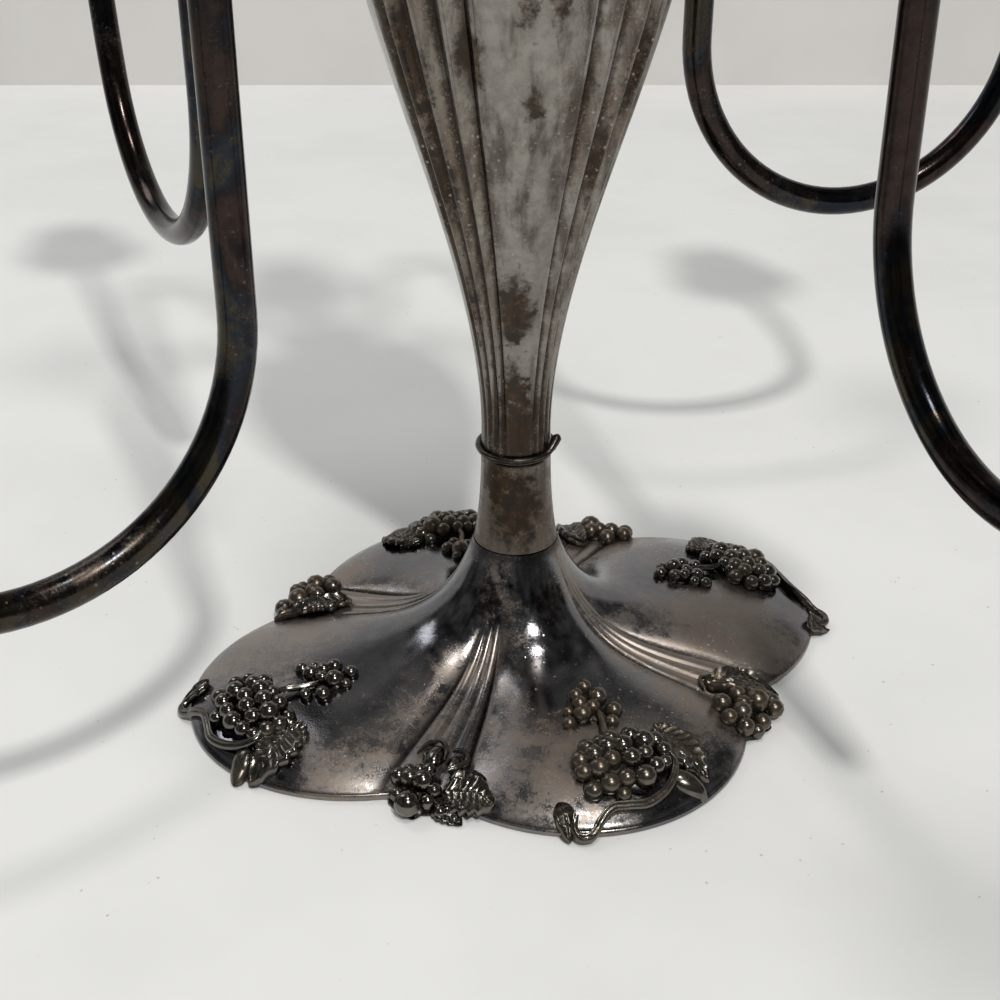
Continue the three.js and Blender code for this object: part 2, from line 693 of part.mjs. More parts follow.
function light(name, place, holder) {
  const panBottom = bossHeight + gap
  const cupBottom = panBottom + panWall + gap
  const cupTop = cupBottom + cupHeight
  const cupBore = candleRadius + nozzleWall + gap
  const screwBore = screwRadius + gap
  const group = new THREE.Group()
  group.position.copy(place)
  candelabrum.add(group)
  if (holder) {
    add(`tip_boss_${name}`, ringOf([
      [screwBore, -bossSpigot],
      [armBore * 0.866 - gap, -bossSpigot],
      [armBore * 0.866 - gap, gap],
      [armRadius + 0.6, gap],
      [bossRadius, bossHeight * 0.5],
      [bossRadius - 1, bossHeight],
      [screwBore, bossHeight],
    ], 12), silver, group)
  }
  add(`drip_pan_${name}`, ringOf([
    [screwBore, panBottom],
    [panFlat, panBottom],
    [panRadius * 0.75, panBottom + panDish * 0.35],
    [panRadius, panBottom + panDish],
    [panRadius - 0.8, panBottom + panDish + panWall],
    [panRadius * 0.74, panBottom + panDish * 0.35 + panWall],
    [panFlat, panBottom + panWall],
    [screwBore, panBottom + panWall],
  ]), silver, group)
  add(`candle_cup_${name}`, ringOf([
    [screwBore, cupBottom],
    [cupWaist, cupBottom],
    [cupWaist - 1, cupBottom + 2.5],
    [cupRadius - 1.8, cupBottom + cupHeight * 0.22],
    [cupRadius - 0.8, cupBottom + cupHeight * 0.45],
    [cupRadius - 1.2, cupBottom + cupHeight * 0.8],
    [cupRadius, cupTop],
    [cupBore, cupTop],
    [cupBore, cupTop - nozzleDepth - gap],
    [screwHeadRadius + gap, cupTop - nozzleDepth - gap],
    [screwHeadRadius + gap, cupBottom + cupFloor],
    [screwBore, cupBottom + cupFloor],
  ]), silver, group)
  const headBottom = cupBottom + cupFloor + gap
  add(`cup_screw_${name}`, turned([
    [0, -bossSpigot + 1],
    [screwRadius, -bossSpigot + 1],
    [screwRadius, headBottom],
    [screwHeadRadius, headBottom],
    [screwHeadRadius, headBottom + screwHeadHeight],
    [0, headBottom + screwHeadHeight],
  ], 8), brass, group)
  const rimBottom = cupTop + gap
  add(`nozzle_${name}`, ringOf([
    [candleRadius + nozzleWall, cupTop - nozzleDepth],
    [candleRadius + nozzleWall, rimBottom],
    [nozzleFlange - 1, rimBottom + 1.2],
    [nozzleFlange, rimBottom + 3],
    [nozzleFlange - 1.2, rimBottom + 3.6],
    [candleRadius, rimBottom + 1.6],
    [candleRadius, cupTop - nozzleDepth + 1.5],
    [screwHeadRadius, cupTop - nozzleDepth + 1.5],
    [screwHeadRadius, cupTop - nozzleDepth],
  ]), silver, group)
}

corners.forEach((corner, i) => {
  const quarterTurn = new THREE.Group()
  quarterTurn.rotation.z = degrees(legAzimuths[i])
  candelabrum.add(quarterTurn)
  const path = armPath(bendTurn + bendTurns[i], bendRises[i])
  add(`arm_${corner}`, bar(armSection, path, armSteps), darkSilver, quarterTurn)
  const collar = ringOf([
    [armRadius + gap, 0],
    [collarRadius, 0],
    [collarRadius - 1, collarLength],
    [armRadius + gap, collarLength],
  ], 12)
  add(`arm_collar_${corner}`, collar.rotateY(Math.PI / 2).translate(hubRadius + gap, 0, armRootHeight),
    silver, quarterTurn)
  light(corner, path.getPoint(1).applyAxisAngle(new THREE.Vector3(0, 0, 1), degrees(legAzimuths[i])), true)
})
light('centre', new THREE.Vector3(0, 0, columnTop - bossHeight), false)

export default candelabrum
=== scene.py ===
import math

import bmesh
import bpy
import numpy as np
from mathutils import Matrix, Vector


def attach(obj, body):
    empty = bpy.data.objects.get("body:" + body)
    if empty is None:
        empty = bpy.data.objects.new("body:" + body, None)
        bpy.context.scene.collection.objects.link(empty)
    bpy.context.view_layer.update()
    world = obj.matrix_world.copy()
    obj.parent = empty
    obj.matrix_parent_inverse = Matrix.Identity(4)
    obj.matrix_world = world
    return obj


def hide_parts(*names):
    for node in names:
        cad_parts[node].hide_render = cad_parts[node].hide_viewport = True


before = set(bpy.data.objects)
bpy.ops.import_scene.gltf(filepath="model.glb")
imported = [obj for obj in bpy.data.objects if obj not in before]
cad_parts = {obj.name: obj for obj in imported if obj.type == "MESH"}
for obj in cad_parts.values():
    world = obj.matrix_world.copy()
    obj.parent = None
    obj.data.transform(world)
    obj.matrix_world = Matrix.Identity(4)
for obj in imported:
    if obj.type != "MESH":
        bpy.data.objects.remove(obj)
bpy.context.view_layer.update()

# The foot.
# A lobed base stamped from one sheet of brass and silver plated, 1.2 mm thick. Narrow fans of three
# reeds part its four lobes, and it ends in a short spigot that the neck is soldered on.

MM = 0.001
same_point = 0.002 * MM


class Signal:
    """A socket of a tree of nodes. The signs of arithmetic add Math nodes to it."""

    def __init__(self, nodes, socket):
        self.nodes = nodes
        self.socket = socket

    def maths(self, operation, *values):
        return self.nodes.add("ShaderNodeMath", dict(enumerate(values)), operation=operation)

    def __add__(self, other):
        return self.maths("ADD", self, other)

    def __sub__(self, other):
        return self.maths("SUBTRACT", self, other)

    def __mul__(self, other):
        return self.maths("MULTIPLY", self, other)

    def __rsub__(self, other):
        return self.maths("SUBTRACT", other, self)

    __radd__, __rmul__ = __add__, __mul__

    def between(self, low, high):
        """0 below low, 1 above high, and a smooth step between."""
        values = {"Value": self, "From Min": low, "From Max": high}
        return self.nodes.add("ShaderNodeMapRange", values, interpolation_type="SMOOTHSTEP")


class Nodes:
    """The nodes of one material or world, or of one Geometry Nodes tree."""

    def __init__(self, tree):
        self.tree = tree

    def add(self, kind, values=(), out=0, **settings):
        made = self.tree.nodes.new(kind)
        for key, setting in settings.items():
            setattr(made, key, setting)
        for key, value in dict(values).items():
            if isinstance(value, Signal):
                self.tree.links.new(value.socket, made.inputs[key])
            else:
                made.inputs[key].default_value = value
        return Signal(self, made.outputs[out]) if made.outputs else None

    def noise(self, at, scale, detail=4, rough=0.55, warp=0):
        values = {"Vector": at, "Scale": scale, "Detail": detail, "Roughness": rough, "Distortion": warp}
        return self.add("ShaderNodeTexNoise", values)

    def tint(self, under, over, share):
        return self.add("ShaderNodeMix", {0: share, 6: under, 7: over}, 2, data_type="RGBA")

    def heat_bands(self, along, stops):
        made = self.tree.nodes.new("ShaderNodeValToRGB")
        ramp = made.color_ramp.elements
        for i, (place, colour) in enumerate(stops):
            stop = ramp[i] if i < 2 else ramp.new(place)
            stop.position, stop.color = place, (*colour, 1)
        self.tree.links.new(along.socket, made.inputs["Fac"])
        return Signal(self, made.outputs["Color"])

    def stretched(self, at, upright, turn=(0, 0, 0)):
        return self.add("ShaderNodeMapping", {"Vector": at, "Scale": (1, 1, upright), "Rotation": turn})

    def reach(self, at, middle):
        return self.add("ShaderNodeVectorMath", {0: at, 1: middle}, "Value", operation="DISTANCE")

    def cells(self, at, scale):
        return self.add("ShaderNodeTexVoronoi", {"Vector": at, "Scale": scale}, "Distance")

    def painted(self, **values):
        """Ends a material in one Principled BSDF."""
        values = {key.replace("_", " "): value for key, value in values.items()}
        self.add("ShaderNodeOutputMaterial", {"Surface": self.add("ShaderNodeBsdfPrincipled", values)})


def cleared(data):
    """The emptied nodes of a new material or world."""
    data.use_nodes = True
    data.node_tree.nodes.clear()
    return Nodes(data.node_tree)


def fresh(name):
    """A new material, its emptied nodes and the place on the object that they start from."""
    material = bpy.data.materials.new(name)
    nodes = cleared(material)
    return material, nodes, nodes.add("ShaderNodeTexCoord", out="Object")


def placed(name, data):
    """A new object in the scene."""
    thing = bpy.data.objects.new(name, data)
    bpy.context.collection.objects.link(thing)
    return thing


def metal(
    name, colours, film_from, film_to, roughness, stains=(), grain=1, relief=0.12,
    bands=None, folds=None, rubbed=(), painted_reflection_streaks=0,
):
    """Plated or bare metal under the dull film, blackened tarnish, dust and pits that age gives it, with
    painted shade and painted highlights.

    colours are bright, film, soot_and_shade and speck. The film starts at film_from in the clouds and is
    whole at film_to. stains are ragged brown patches (x, y, z, radius, times as tall) and rubbed
    are spots of thinner film (x, y, z, radius, share), thicker below 0, in metres. bands are the
    stops of a tube's heat colours. folds is the azimuth of the middle of a lobe or panel, whose
    film gathers halfway to the next. painted_reflection_streaks is how dark the upright streaks
    are that paint reflections of the room. The grime attribute darkens towards
    soot_and_shade, as tarnish and as painted shade; below 0 it thins the film, which paints
    lighter highlights on crests.
    """
    bright, film, soot_and_shade, speck = [(*colour, 1) for colour in colours]
    material, nodes, at = fresh(name)
    clouds = nodes.noise(at, 42, 6, 0.62, 0.6)
    broad = nodes.noise(at, 13, 3, 0.5)
    mottle = nodes.noise(at, 260, 6, 0.7)
    fine = nodes.noise(at, 1500, 3, 0.6)
    spread = clouds * 0.6 + broad * 0.4 + (mottle - 0.5) * 0.42 + (fine - 0.5) * 0.12
    if folds is not None:
        x, y = (nodes.add("ShaderNodeSeparateXYZ", {"Vector": at}, axis) for axis in "XY")
        turn = y.maths("ARCTAN2", y, x) * 4 - math.radians(folds * 4)
        spread = spread - turn.maths("COSINE", turn) * 0.1
    for x, y, z, radius, share in rubbed:
        away = nodes.reach(at, (x, y, z)) * (1 / radius)
        spread = spread - (1 - away.between(0.3, 1)) * share
    # Tarnish and painted shade from the mesh attribute; below 0 it thins the film into painted highlights.
    grime = nodes.add("ShaderNodeAttribute", out="Fac", attribute_name="grime")
    filmed = spread.between(film_from, film_to) * (1 - (0 - grime).between(0, 0.4) * 0.8)
    soot_and_shade_share = (grime * 1.1 + (mottle - 0.5) * 0.9 + (clouds - 0.5) * 0.6).between(0.3, 0.85)
    pits = (1 - nodes.cells(at, 330).between(0.05, 0.2)) * broad.between(0.46, 0.6)
    dimmer = (*(part * 0.72 for part in bright[:3]), 1)
    base = nodes.tint(bright, dimmer, mottle.between(0.35, 0.65))
    if bands:
        along = nodes.noise(nodes.stretched(at, 0.5), 34, 4, 0.5, 0.8) + (mottle - 0.5) * 0.2
        base = nodes.heat_bands(along, bands)
    warm = (film[0] * 0.85, film[1] * 0.77, film[2] * 0.69, 1)
    dull = nodes.tint(film, warm, (broad * 0.5 + mottle * 0.5).between(0.42, 0.62))
    colour = nodes.tint(base, dull, filmed)
    patch = 0
    for x, y, z, radius, tall in stains:
        away = nodes.reach(nodes.stretched(at, 1 / tall), (x, y, z / tall)) * (1 / radius)
        ragged = away + (mottle - 0.5) * 2.2 + (clouds - 0.5) * 1.6
        patch = (1 - ragged.between(0.35, 1.2)) + patch
    if stains:
        rust = (soot_and_shade[0] * 1.5, soot_and_shade[1] * 1.15, soot_and_shade[2] * 0.8, 1)
        char = (soot_and_shade[0] * 0.45, soot_and_shade[1] * 0.5, soot_and_shade[2] * 0.6, 1)
        patch = patch.between(0, 1.1) * 0.9
        colour = nodes.tint(colour, nodes.tint(char, rust, mottle.between(0.4, 0.6)), patch)
    # Painted reflections: dark upright streaks.
    if painted_reflection_streaks:
        reflection_runs = nodes.noise(nodes.stretched(at, 0.09), 210, 4, 0.6)
        colour = nodes.tint(colour, soot_and_shade, (reflection_runs + (broad - 0.5) * 0.5).between(0.42, 0.7) * painted_reflection_streaks)
    # Tarnish and painted shade darken towards soot_and_shade.
    colour = nodes.tint(colour, soot_and_shade, soot_and_shade_share * 0.85)
    colour = nodes.tint(colour, speck, pits * 0.6)
    dust = (fine * 0.55 + mottle * 0.45 + (filmed - 0.5) * 0.04).between(0.53, 0.7)
    colour = nodes.tint(colour, speck, dust * (0.34 * grain) * (1 - patch * 0.75))
    low, high = roughness
    rough = filmed * (high - low) + low + (fine - 0.5) * (0.16 * grain) + soot_and_shade_share * 0.12 + pits * 0.1
    scratches = nodes.noise(nodes.stretched(at, 0.06, (0.4, 0.5, 0)), 1900, 2)
    height = fine * (0.35 * grain) + mottle * 0.5 + scratches * 0.18 - pits * 1.2 - soot_and_shade_share * 0.3
    deepest = 0.0006
    bump = nodes.add("ShaderNodeBump", {"Strength": relief, "Distance": deepest, "Height": height})
    nodes.painted(Base_Color=colour, Metallic=1 - filmed * 0.15, Roughness=rough, Normal=bump)
    return material


def skin(grid, around=True, loop=True, grime=0):
    """The points, faces and per-point tarnish and painted light of a grid in millimetres, closed round its
    columns or rows.
    """
    rows, columns = grid.shape[:2]
    row, column = np.meshgrid(np.arange(rows - (not loop)), np.arange(columns - (not around)), indexing="ij")
    below, beside = (row + 1) % rows, (column + 1) % columns
    corners = [(row, column), (row, beside), (below, beside), (below, column)]
    faces = np.stack([(down * columns + across).ravel() for down, across in corners], axis=1)
    return grid.reshape(-1, 3), faces.tolist(), np.broadcast_to(grime, (rows, columns)).ravel()


def build(name, skins, finish, body, node, sharp=38):
    """One piece from its skins, with its faces turned outwards, riding on its body in a node's place."""
    points, faces, grime, start = [], [], [], 0
    for place, corners, dirt_and_painted_light in skins:
        points.append(place)
        grime.append(dirt_and_painted_light)
        faces += [[corner + start for corner in face] for face in corners]
        start += len(place)
    mesh = bpy.data.meshes.new(name)
    mesh.from_pydata((np.concatenate(points) * MM).tolist(), [], faces)
    # Each point's value of tarnish and painted shade, with painted highlights below 0.
    dirt_and_painted_light = mesh.attributes.new("grime", "FLOAT", "POINT")
    dirt_and_painted_light.data.foreach_set("value", np.concatenate(grime).astype(np.float32))
    shape = bmesh.new()
    shape.from_mesh(mesh)
    bmesh.ops.remove_doubles(shape, verts=shape.verts, dist=same_point)
    bmesh.ops.recalc_face_normals(shape, faces=shape.faces)
    shape.to_mesh(mesh)
    shape.free()
    mesh.shade_smooth()
    mesh.set_sharp_from_angle(angle=math.radians(sharp))
    mesh.materials.append(finish)
    piece = placed(name, mesh)
    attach(piece, body)
    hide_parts(node)


def polar(radius, azimuth, height):
    """A grid of points from radii, azimuths in degrees and heights, each broadcast to the others."""
    radius, azimuth, height = np.broadcast_arrays(radius, np.radians(azimuth), height)
    return np.stack([radius * np.cos(azimuth), radius * np.sin(azimuth), height], axis=-1)


lobe_azimuth, lobe_turn = 25, 90
lobe_reaches = np.array([110, 90, 110, 97])
notch_radius, fan_radius, fan_half_angle, fan_reeds = 77, 85, 8, 3
foot_wall, rim_band, rim_tuck, rim_thickness, hem_height = 1.2, 2.5, 0.95, 1.7, 0.4
dome_height, flare_reach = 12.5, 0.13
valley_height, valley_reach = 5, 0.17
foot_neck_radius, foot_neck_height = 13.6, 46.7


def off_tip(azimuth):
    return (azimuth - lobe_azimuth + lobe_turn / 2) % lobe_turn - lobe_turn / 2


def rim_radius(azimuth):
    """The outline of the rim: the larger of lobe and fan, with the corner between them softened."""
    offset = off_tip(azimuth)
    lobe_number = np.floor((azimuth - lobe_azimuth + lobe_turn / 2) / lobe_turn).astype(int) % 4
    reach = lobe_reaches[lobe_number]
    lobe = notch_radius + (reach - notch_radius) * np.cos(2 * np.radians(offset))
    fan = fan_radius * (1 - 0.03 * ((lobe_turn / 2 - np.abs(offset)) / fan_half_angle) ** 2)
    corner, outset = 4, 0.9
    return (lobe + fan + np.sqrt((lobe - fan) ** 2 + corner)) / 2 - outset


def foot_height(azimuth, share):
    """The height of the foot's outside, a share of the way from the neck to the rim."""
    offset = np.abs(off_tip(azimuth))
    bowl = np.maximum(0, 1 - share**3) ** 0.7
    rise = foot_neck_height - rim_band
    crown = dome_height * bowl + (rise - dome_height) * np.exp(-share / flare_reach)
    valley = valley_height * bowl + (rise - valley_height) * np.exp(-share / valley_reach)
    puff = np.sqrt(np.maximum(0, 1 - np.minimum(offset / (lobe_turn / 2 - fan_half_angle), 1) ** 2.5))
    place = (lobe_turn / 2 - offset) / (fan_half_angle / (fan_reeds / 2))
    reed = np.sqrt(np.maximum(0, 1 - (2 * (place + 0.5 - np.floor(place + 0.5)) - 1) ** 2))
    reed_height = np.where(place < fan_reeds / 2, reed * 1.7, 0) * bowl**0.4 * np.minimum(1, share * 5)
    return rim_band + valley + (crown - valley) * puff + reed_height


foot_azimuths = np.arange(0, 360, 0.5)[None, :]
foot_rows, rows_at_rim = 84, 1.35
shares = np.cos(np.pi / 2 * np.arange(foot_rows + 1)[:, None] / foot_rows) ** rows_at_rim
foot_rims = rim_radius(foot_azimuths)
level_ring = np.zeros_like(foot_rims)
outer_radii = foot_neck_radius + (foot_rims - foot_neck_radius) * shares
outer_heights = foot_height(foot_azimuths, shares)
lip = [(-0.5, 0), (-0.05, 0.25), (0.15, 0.9), (0.1, 1.6), (-0.35, 2.1), (-0.75, 2.35)]
outer_radii[0] -= rim_tuck
lip_radii, lip_heights = np.array(lip)[:, :1] + foot_rims, np.array(lip)[:, 1:] + level_ring
slope_r = np.gradient(outer_radii, axis=0)
slope_z = np.gradient(outer_heights, axis=0)
slope = np.hypot(slope_r, slope_z) + 1e-9
inner_radii = (outer_radii - foot_wall * np.abs(slope_z) / slope)[::3]
inner_heights = (outer_heights - foot_wall * np.abs(slope_r) / slope)[::3]
inner_radii[0] = foot_rims[0] - rim_thickness
inner_heights[0] = hem_height
spigot_top = 54.7
spigot = [
    (12.3, foot_neck_height), (11.3, foot_neck_height + 1), (11, spigot_top), (9.8, spigot_top), (9.9, 45.5),
]
spigot_radii, spigot_heights = np.array(spigot)[:, :1] + level_ring, np.array(spigot)[:, 1:] + level_ring
foot_grid = polar(
    np.concatenate([lip_radii, outer_radii, spigot_radii, inner_radii[::-1]]),
    foot_azimuths,
    np.concatenate([lip_heights, outer_heights, spigot_heights, inner_heights[::-1]]),
)
# Tarnish and painted shade on the foot: darker in the creases beside each fan, where the foot rises into its
# neck, along the rim and on the lip, and darker still on the spigot and the underside.
from_fan = np.abs(off_tip(foot_azimuths)) - (lobe_turn / 2 - fan_half_angle)
crease_tarnish_and_shade = np.exp(-((from_fan / 1.6) ** 2)) * np.minimum(1, shares * 3) * 0.75
crease_tarnish_and_shade = crease_tarnish_and_shade + np.exp(-shares / 0.02) * 0.9 + np.exp(-(1 - shares) / 0.012) * 0.7
foot_tarnish_and_painted_shade = np.concatenate(
    [np.full_like(lip_radii, 0.3), crease_tarnish_and_shade, np.full_like(spigot_radii, 0.5), np.full_like(inner_radii, 0.75)]
)
foot_finish = metal(
    "tarnished_plate_foot",
    [(0.185, 0.187, 0.2), (0.3, 0.27, 0.248), (0.03, 0.026, 0.025), (0.5, 0.46, 0.43)],
    0.42, 0.67, (0.11, 0.4),
    stains=[(0.012, -0.022, 0.036, 0.010, 1.2), (-0.009, -0.02, 0.04, 0.008, 1.6)],
    folds=lobe_azimuth,
    rubbed=[
        (0.022, -0.036, 0.018, 0.03, 0.16), (-0.04, -0.028, 0.018, 0.02, 0.1),
        (0.02, -0.1, 0.004, 0.035, -0.12), (-0.078, -0.02, 0.015, 0.04, -0.13),
        (0.07, 0.01, 0.015, 0.035, -0.13), (-0.05, -0.085, 0.006, 0.03, -0.08),
        (-0.069, -0.04, 0.013, 0.03, -0.06), (0.028, -0.064, 0.012, 0.024, -0.12),
        (0.069, 0.035, 0.013, 0.03, -0.1),
    ],
)
build("foot_shell", [skin(foot_grid, grime=foot_tarnish_and_painted_shade)], foot_finish, "stand", "foot")

# The washer, the nuts and the tie rod.
# A steel rod threaded at both ends pulls the foot, the neck and the body together between two brass
# nuts, one on a dished washer under the foot and one in the bottom of the socket.


def softened(outline):
    """A section's points (radius, height, rounding), with each corner drawn as a short curve."""
    places = []
    count = len(outline)
    for i, (radius, height, rounding) in enumerate(outline):
        here = np.array([radius, height])
        before = np.array(outline[i - 1][:2]) - here
        after = np.array(outline[(i + 1) % count][:2]) - here
        if rounding == 0 or radius < 1e-6:
            places.append(here)
            continue
        start = here + before * min(0.5, rounding / (np.hypot(*before) + 1e-9))
        end = here + after * min(0.5, rounding / (np.hypot(*after) + 1e-9))
        steps = 2 if rounding < 1 else 6
        for t in np.linspace(0, 1, steps + 1):
            places.append(start * (1 - t) ** 2 + here * 2 * t * (1 - t) + end * t**2)
    return np.array(places)


def turned(outline, around=96, middle=(0, 0), ripple=None, grime=0):
    """A turned skin from a closed section. ripple gives the radius flutes, reeds or flats."""
    section = softened(outline)
    azimuths = np.arange(around)[None, :] * (360 / around)
    radius, height = section[:, :1], section[:, 1:]
    if ripple:
        radius = radius * ripple(azimuths, radius, height)
    grid = polar(radius, azimuths, height)
    grid[..., 0] += middle[0]
    grid[..., 1] += middle[1]
    return skin(grid, grime=grime)


def plain(rounding, *outline):
    """A section of (radius, height) whose corners all have the same rounding."""
    return [(radius, height, rounding) for radius, height in outline]


def threaded(radius, bottom, top, thread):
    """The outside of a rod with a thread over a length at each end."""
    half_pitch, depth, chamfer = 0.5, 0.32, 0.6
    lower = np.arange(bottom + half_pitch, bottom + thread, half_pitch)
    upper = np.arange(top - thread + half_pitch, top - 0.4, half_pitch)
    heights = [*lower, top - thread, *upper]
    crests = [(radius - depth * (i % 2), height, 0) for i, height in enumerate(heights)]
    return [(0, bottom, 0), (radius - chamfer, bottom, 0), *crests, (radius - chamfer, top, 0), (0, top, 0)]


nut_half, nut_height = 6, 6


def hexed(azimuths, radius, _):
    """A ripple that cuts a nut's six flats."""
    flat = nut_half / np.cos(np.radians((azimuths + 30) % 60 - 30))
    return np.where(radius > nut_half - 0.1, np.minimum(flat, radius) / radius, 1)


def nut(bottom):
    corner, top = 2 * nut_half / math.sqrt(3), bottom + nut_height
    outline = plain(
        0, (3.1, bottom + 0.5), (3.6, bottom), (nut_half, bottom), (corner, bottom + 0.7),
        (corner, top - 0.7), (nut_half, top), (3.6, top), (3.1, top - 0.5),
    )
    return turned(outline, 72, ripple=hexed, grime=0.25)


brass = metal(
    "bare_brass",
    [(0.42, 0.30, 0.13), (0.22, 0.15, 0.07), (0.06, 0.045, 0.03), (0.5, 0.42, 0.28)],
    0.45, 0.62, (0.3, 0.5), grain=0.8,
)
steel = metal(
    "rod_steel",
    [(0.34, 0.33, 0.32), (0.2, 0.15, 0.11), (0.07, 0.05, 0.035), (0.4, 0.35, 0.3)],
    0.48, 0.62, (0.35, 0.55), grain=0.9,
)
rod_radius, rod_bottom, rod_top, rod_thread = 3, 22.7, 288, 16
rod_outline = threaded(rod_radius, rod_bottom, rod_top, rod_thread)
build("rod", [turned(rod_outline, 32)], steel, "stand", "tie_rod", 60)
for level, nut_bottom in (("lower", 27.7), ("upper", 277.3)):
    build(f"{level}_nut", [nut(nut_bottom)], brass, "stand", f"rod_nut_{level}", 30)
washer_outline = plain(0.4, (3.3, 34), (15, 34), (15, 34.5), (13, 36), (3.3, 36))
build("washer", [turned(washer_outline)], brass, "stand", "rod_washer")

# The neck collar.
# A plain seamed tube that widens to the foot, slipped over the foot's spigot and soldered.

collar_bottom, collar_top, collar_radius, collar_flare, collar_wall = 47, 78.5, 10.9, 2.4, 1.2
collar_outline = []
for share in np.linspace(0, 1, 15):
    radius = collar_radius + collar_flare * (1 - share) ** 2.2
    collar_outline.append((radius, collar_bottom + (collar_top - collar_bottom) * share, 0))
collar_inside = [(radius - collar_wall, height, 0) for radius, height, _ in collar_outline[::-2]]
neck_finish = metal(
    "tarnished_plate_neck",
    [(0.185, 0.165, 0.145), (0.125, 0.095, 0.072), (0.03, 0.021, 0.014), (0.5, 0.46, 0.42)],
    0.42, 0.6, (0.24, 0.46),
    stains=[(0, -0.011, 0.06, 0.011, 1.5), (-0.006, -0.009, 0.072, 0.006, 1.5)],
    painted_reflection_streaks=0.5,
)
collar_skin = turned(collar_outline + collar_inside)
build("neck_tube", [collar_skin], neck_finish, "stand", "neck_collar")

# The body.
# A tall baluster raised from sheet, with four broad panels and three reeds between each two. The
# panels' plate has worn to a pinkish grey, with pits and a brown stain low on the front one.

body_bottom, body_top = 78.8, 303
belly_height, belly_radius, waist_radius, shoulder_radius = 268, 51, 10.9, 32
panel_azimuth, panel_width, panel_turn = 5, 50, 90
reed_width = (panel_turn - panel_width) / 3
groove_depth, body_wall = 0.07, 1.4


def body_radius(height):
    share = np.clip((height - body_bottom) / (belly_height - body_bottom), 0, 1)
    swell = share**2 * (3 - 2 * share)
    lag = 0.55 * share**1.2 * (1 - share) ** 1.6
    lower = waist_radius + (belly_radius - waist_radius) * (swell - lag * 0.42)
    over = np.clip((height - belly_height) / (body_top - belly_height), 0, 1)
    upper = shoulder_radius + (belly_radius - shoulder_radius) * np.sqrt(1 - over**2.4)
    return np.where(height <= belly_height, lower, upper)


def flute(azimuth):
    """0 on the crest of a panel or a reed and 1 in the groove beside it."""
    place = (azimuth - panel_azimuth + panel_width / 2) % panel_turn
    reed = ((place - panel_width) / reed_width) % 1
    across = np.abs(place / panel_width * 2 - 1)
    on_panel = 0.3 * (1 - across**4) + (np.maximum(0, across - 0.8) / 0.2) ** 2
    on_reed = 0.5 + 0.5 * np.cos(2 * np.pi * reed)
    return np.where(place <= panel_width, on_panel, on_reed)


def furrow(azimuth):
    """1 in the middle of a furrow, for its tarnish and painted shade, and below 0 on the crests beside it,
    which paints highlights there.
    """
    place = (azimuth - panel_azimuth + panel_width / 2) % panel_turn
    furrows = [0, *(panel_width + reed_width * number for number in range(3)), panel_turn]
    beside_it = np.min([np.abs(place - middle) for middle in furrows], axis=0)
    return np.exp(-((beside_it / 3.4) ** 2)) - 0.35 * np.exp(-(((beside_it - 6.6) / 1.4) ** 2))


body_azimuths = np.arange(0, 360, 0.75)[None, :]
body_heights = np.concatenate(
    [np.linspace(body_bottom, belly_height, 110), np.linspace(belly_height + 1, body_top, 34)]
)[:, None]
fade = np.minimum(1, (body_heights - body_bottom) / 14) * np.minimum(1, (body_top - body_heights) / 10)
grooves = flute(body_azimuths)
outside = body_radius(body_heights) * (1 - groove_depth * grooves * fade)
inside_heights = body_heights[::-4]
inside = body_radius(inside_heights) * (1 - groove_depth * grooves * fade[::-4]) - body_wall
body_grid = polar(
    np.concatenate([outside, inside]), body_azimuths, np.concatenate([body_heights, inside_heights])
)
# Tarnish and painted shade on the body: darker in the furrows, more so on the left side, turned away from the
# key lamp, with a painted dark band down the left panel; darker towards the bottom near the waist and inside;
# the crests beside the furrows are lighter, as painted highlights.
left_side, left_panel, waist_height = 215, 202, 84
painted_side_shade = 0.86 + 0.14 * np.cos(np.radians(body_azimuths - left_side))
body_tarnish_and_painted_light = furrow(body_azimuths) * (0.3 + 0.42 * fade) * painted_side_shade
body_tarnish_and_painted_light = body_tarnish_and_painted_light + 0.5 * np.exp(-(((body_heights - waist_height) / 24) ** 2))
body_tarnish_and_painted_light = body_tarnish_and_painted_light + 0.42 * np.exp(-(((body_azimuths - left_panel) / 13) ** 2)) * fade
body_tarnish_and_painted_light = np.concatenate([body_tarnish_and_painted_light, np.full_like(inside, 0.7)])
body_finish = metal(
    "tarnished_plate_body",
    [(0.3, 0.278, 0.25), (0.2, 0.172, 0.146), (0.034, 0.023, 0.015), (0.5, 0.47, 0.43)],
    0.47, 0.68, (0.17, 0.38),
    stains=[
        (-0.0013, -0.017, 0.128, 0.0078, 2.2), (0, -0.012, 0.087, 0.012, 1.6),
        (-0.001, -0.0145, 0.105, 0.006, 2.4), (0.004, -0.036, 0.19, 0.004, 2.5),
        (0.016, -0.028, 0.2, 0.005, 3), (-0.022, -0.02, 0.16, 0.0085, 4), (-0.03, -0.025, 0.2, 0.009, 3.5),
        (-0.014, -0.012, 0.12, 0.006, 4), (0.03, -0.02, 0.2, 0.006, 4), (0.022, -0.02, 0.17, 0.005, 4),
        (0.002, -0.044, 0.213, 0.004, 3), (0.0104, -0.043, 0.218, 0.0045, 2.5),
        (-0.013, -0.036, 0.205, 0.005, 3),
    ],
    grain=1.2, folds=panel_azimuth, painted_reflection_streaks=0.7,
)
build("baluster", [skin(body_grid, grime=body_tarnish_and_painted_light)], body_finish, "stand", "fluted_body")

# The waist ring.
# One drawn wire wound round the seam of neck and body and left unsoldered. Its end is hammered
# flat and bent up at the right, and a thin turn shows under it at the front.


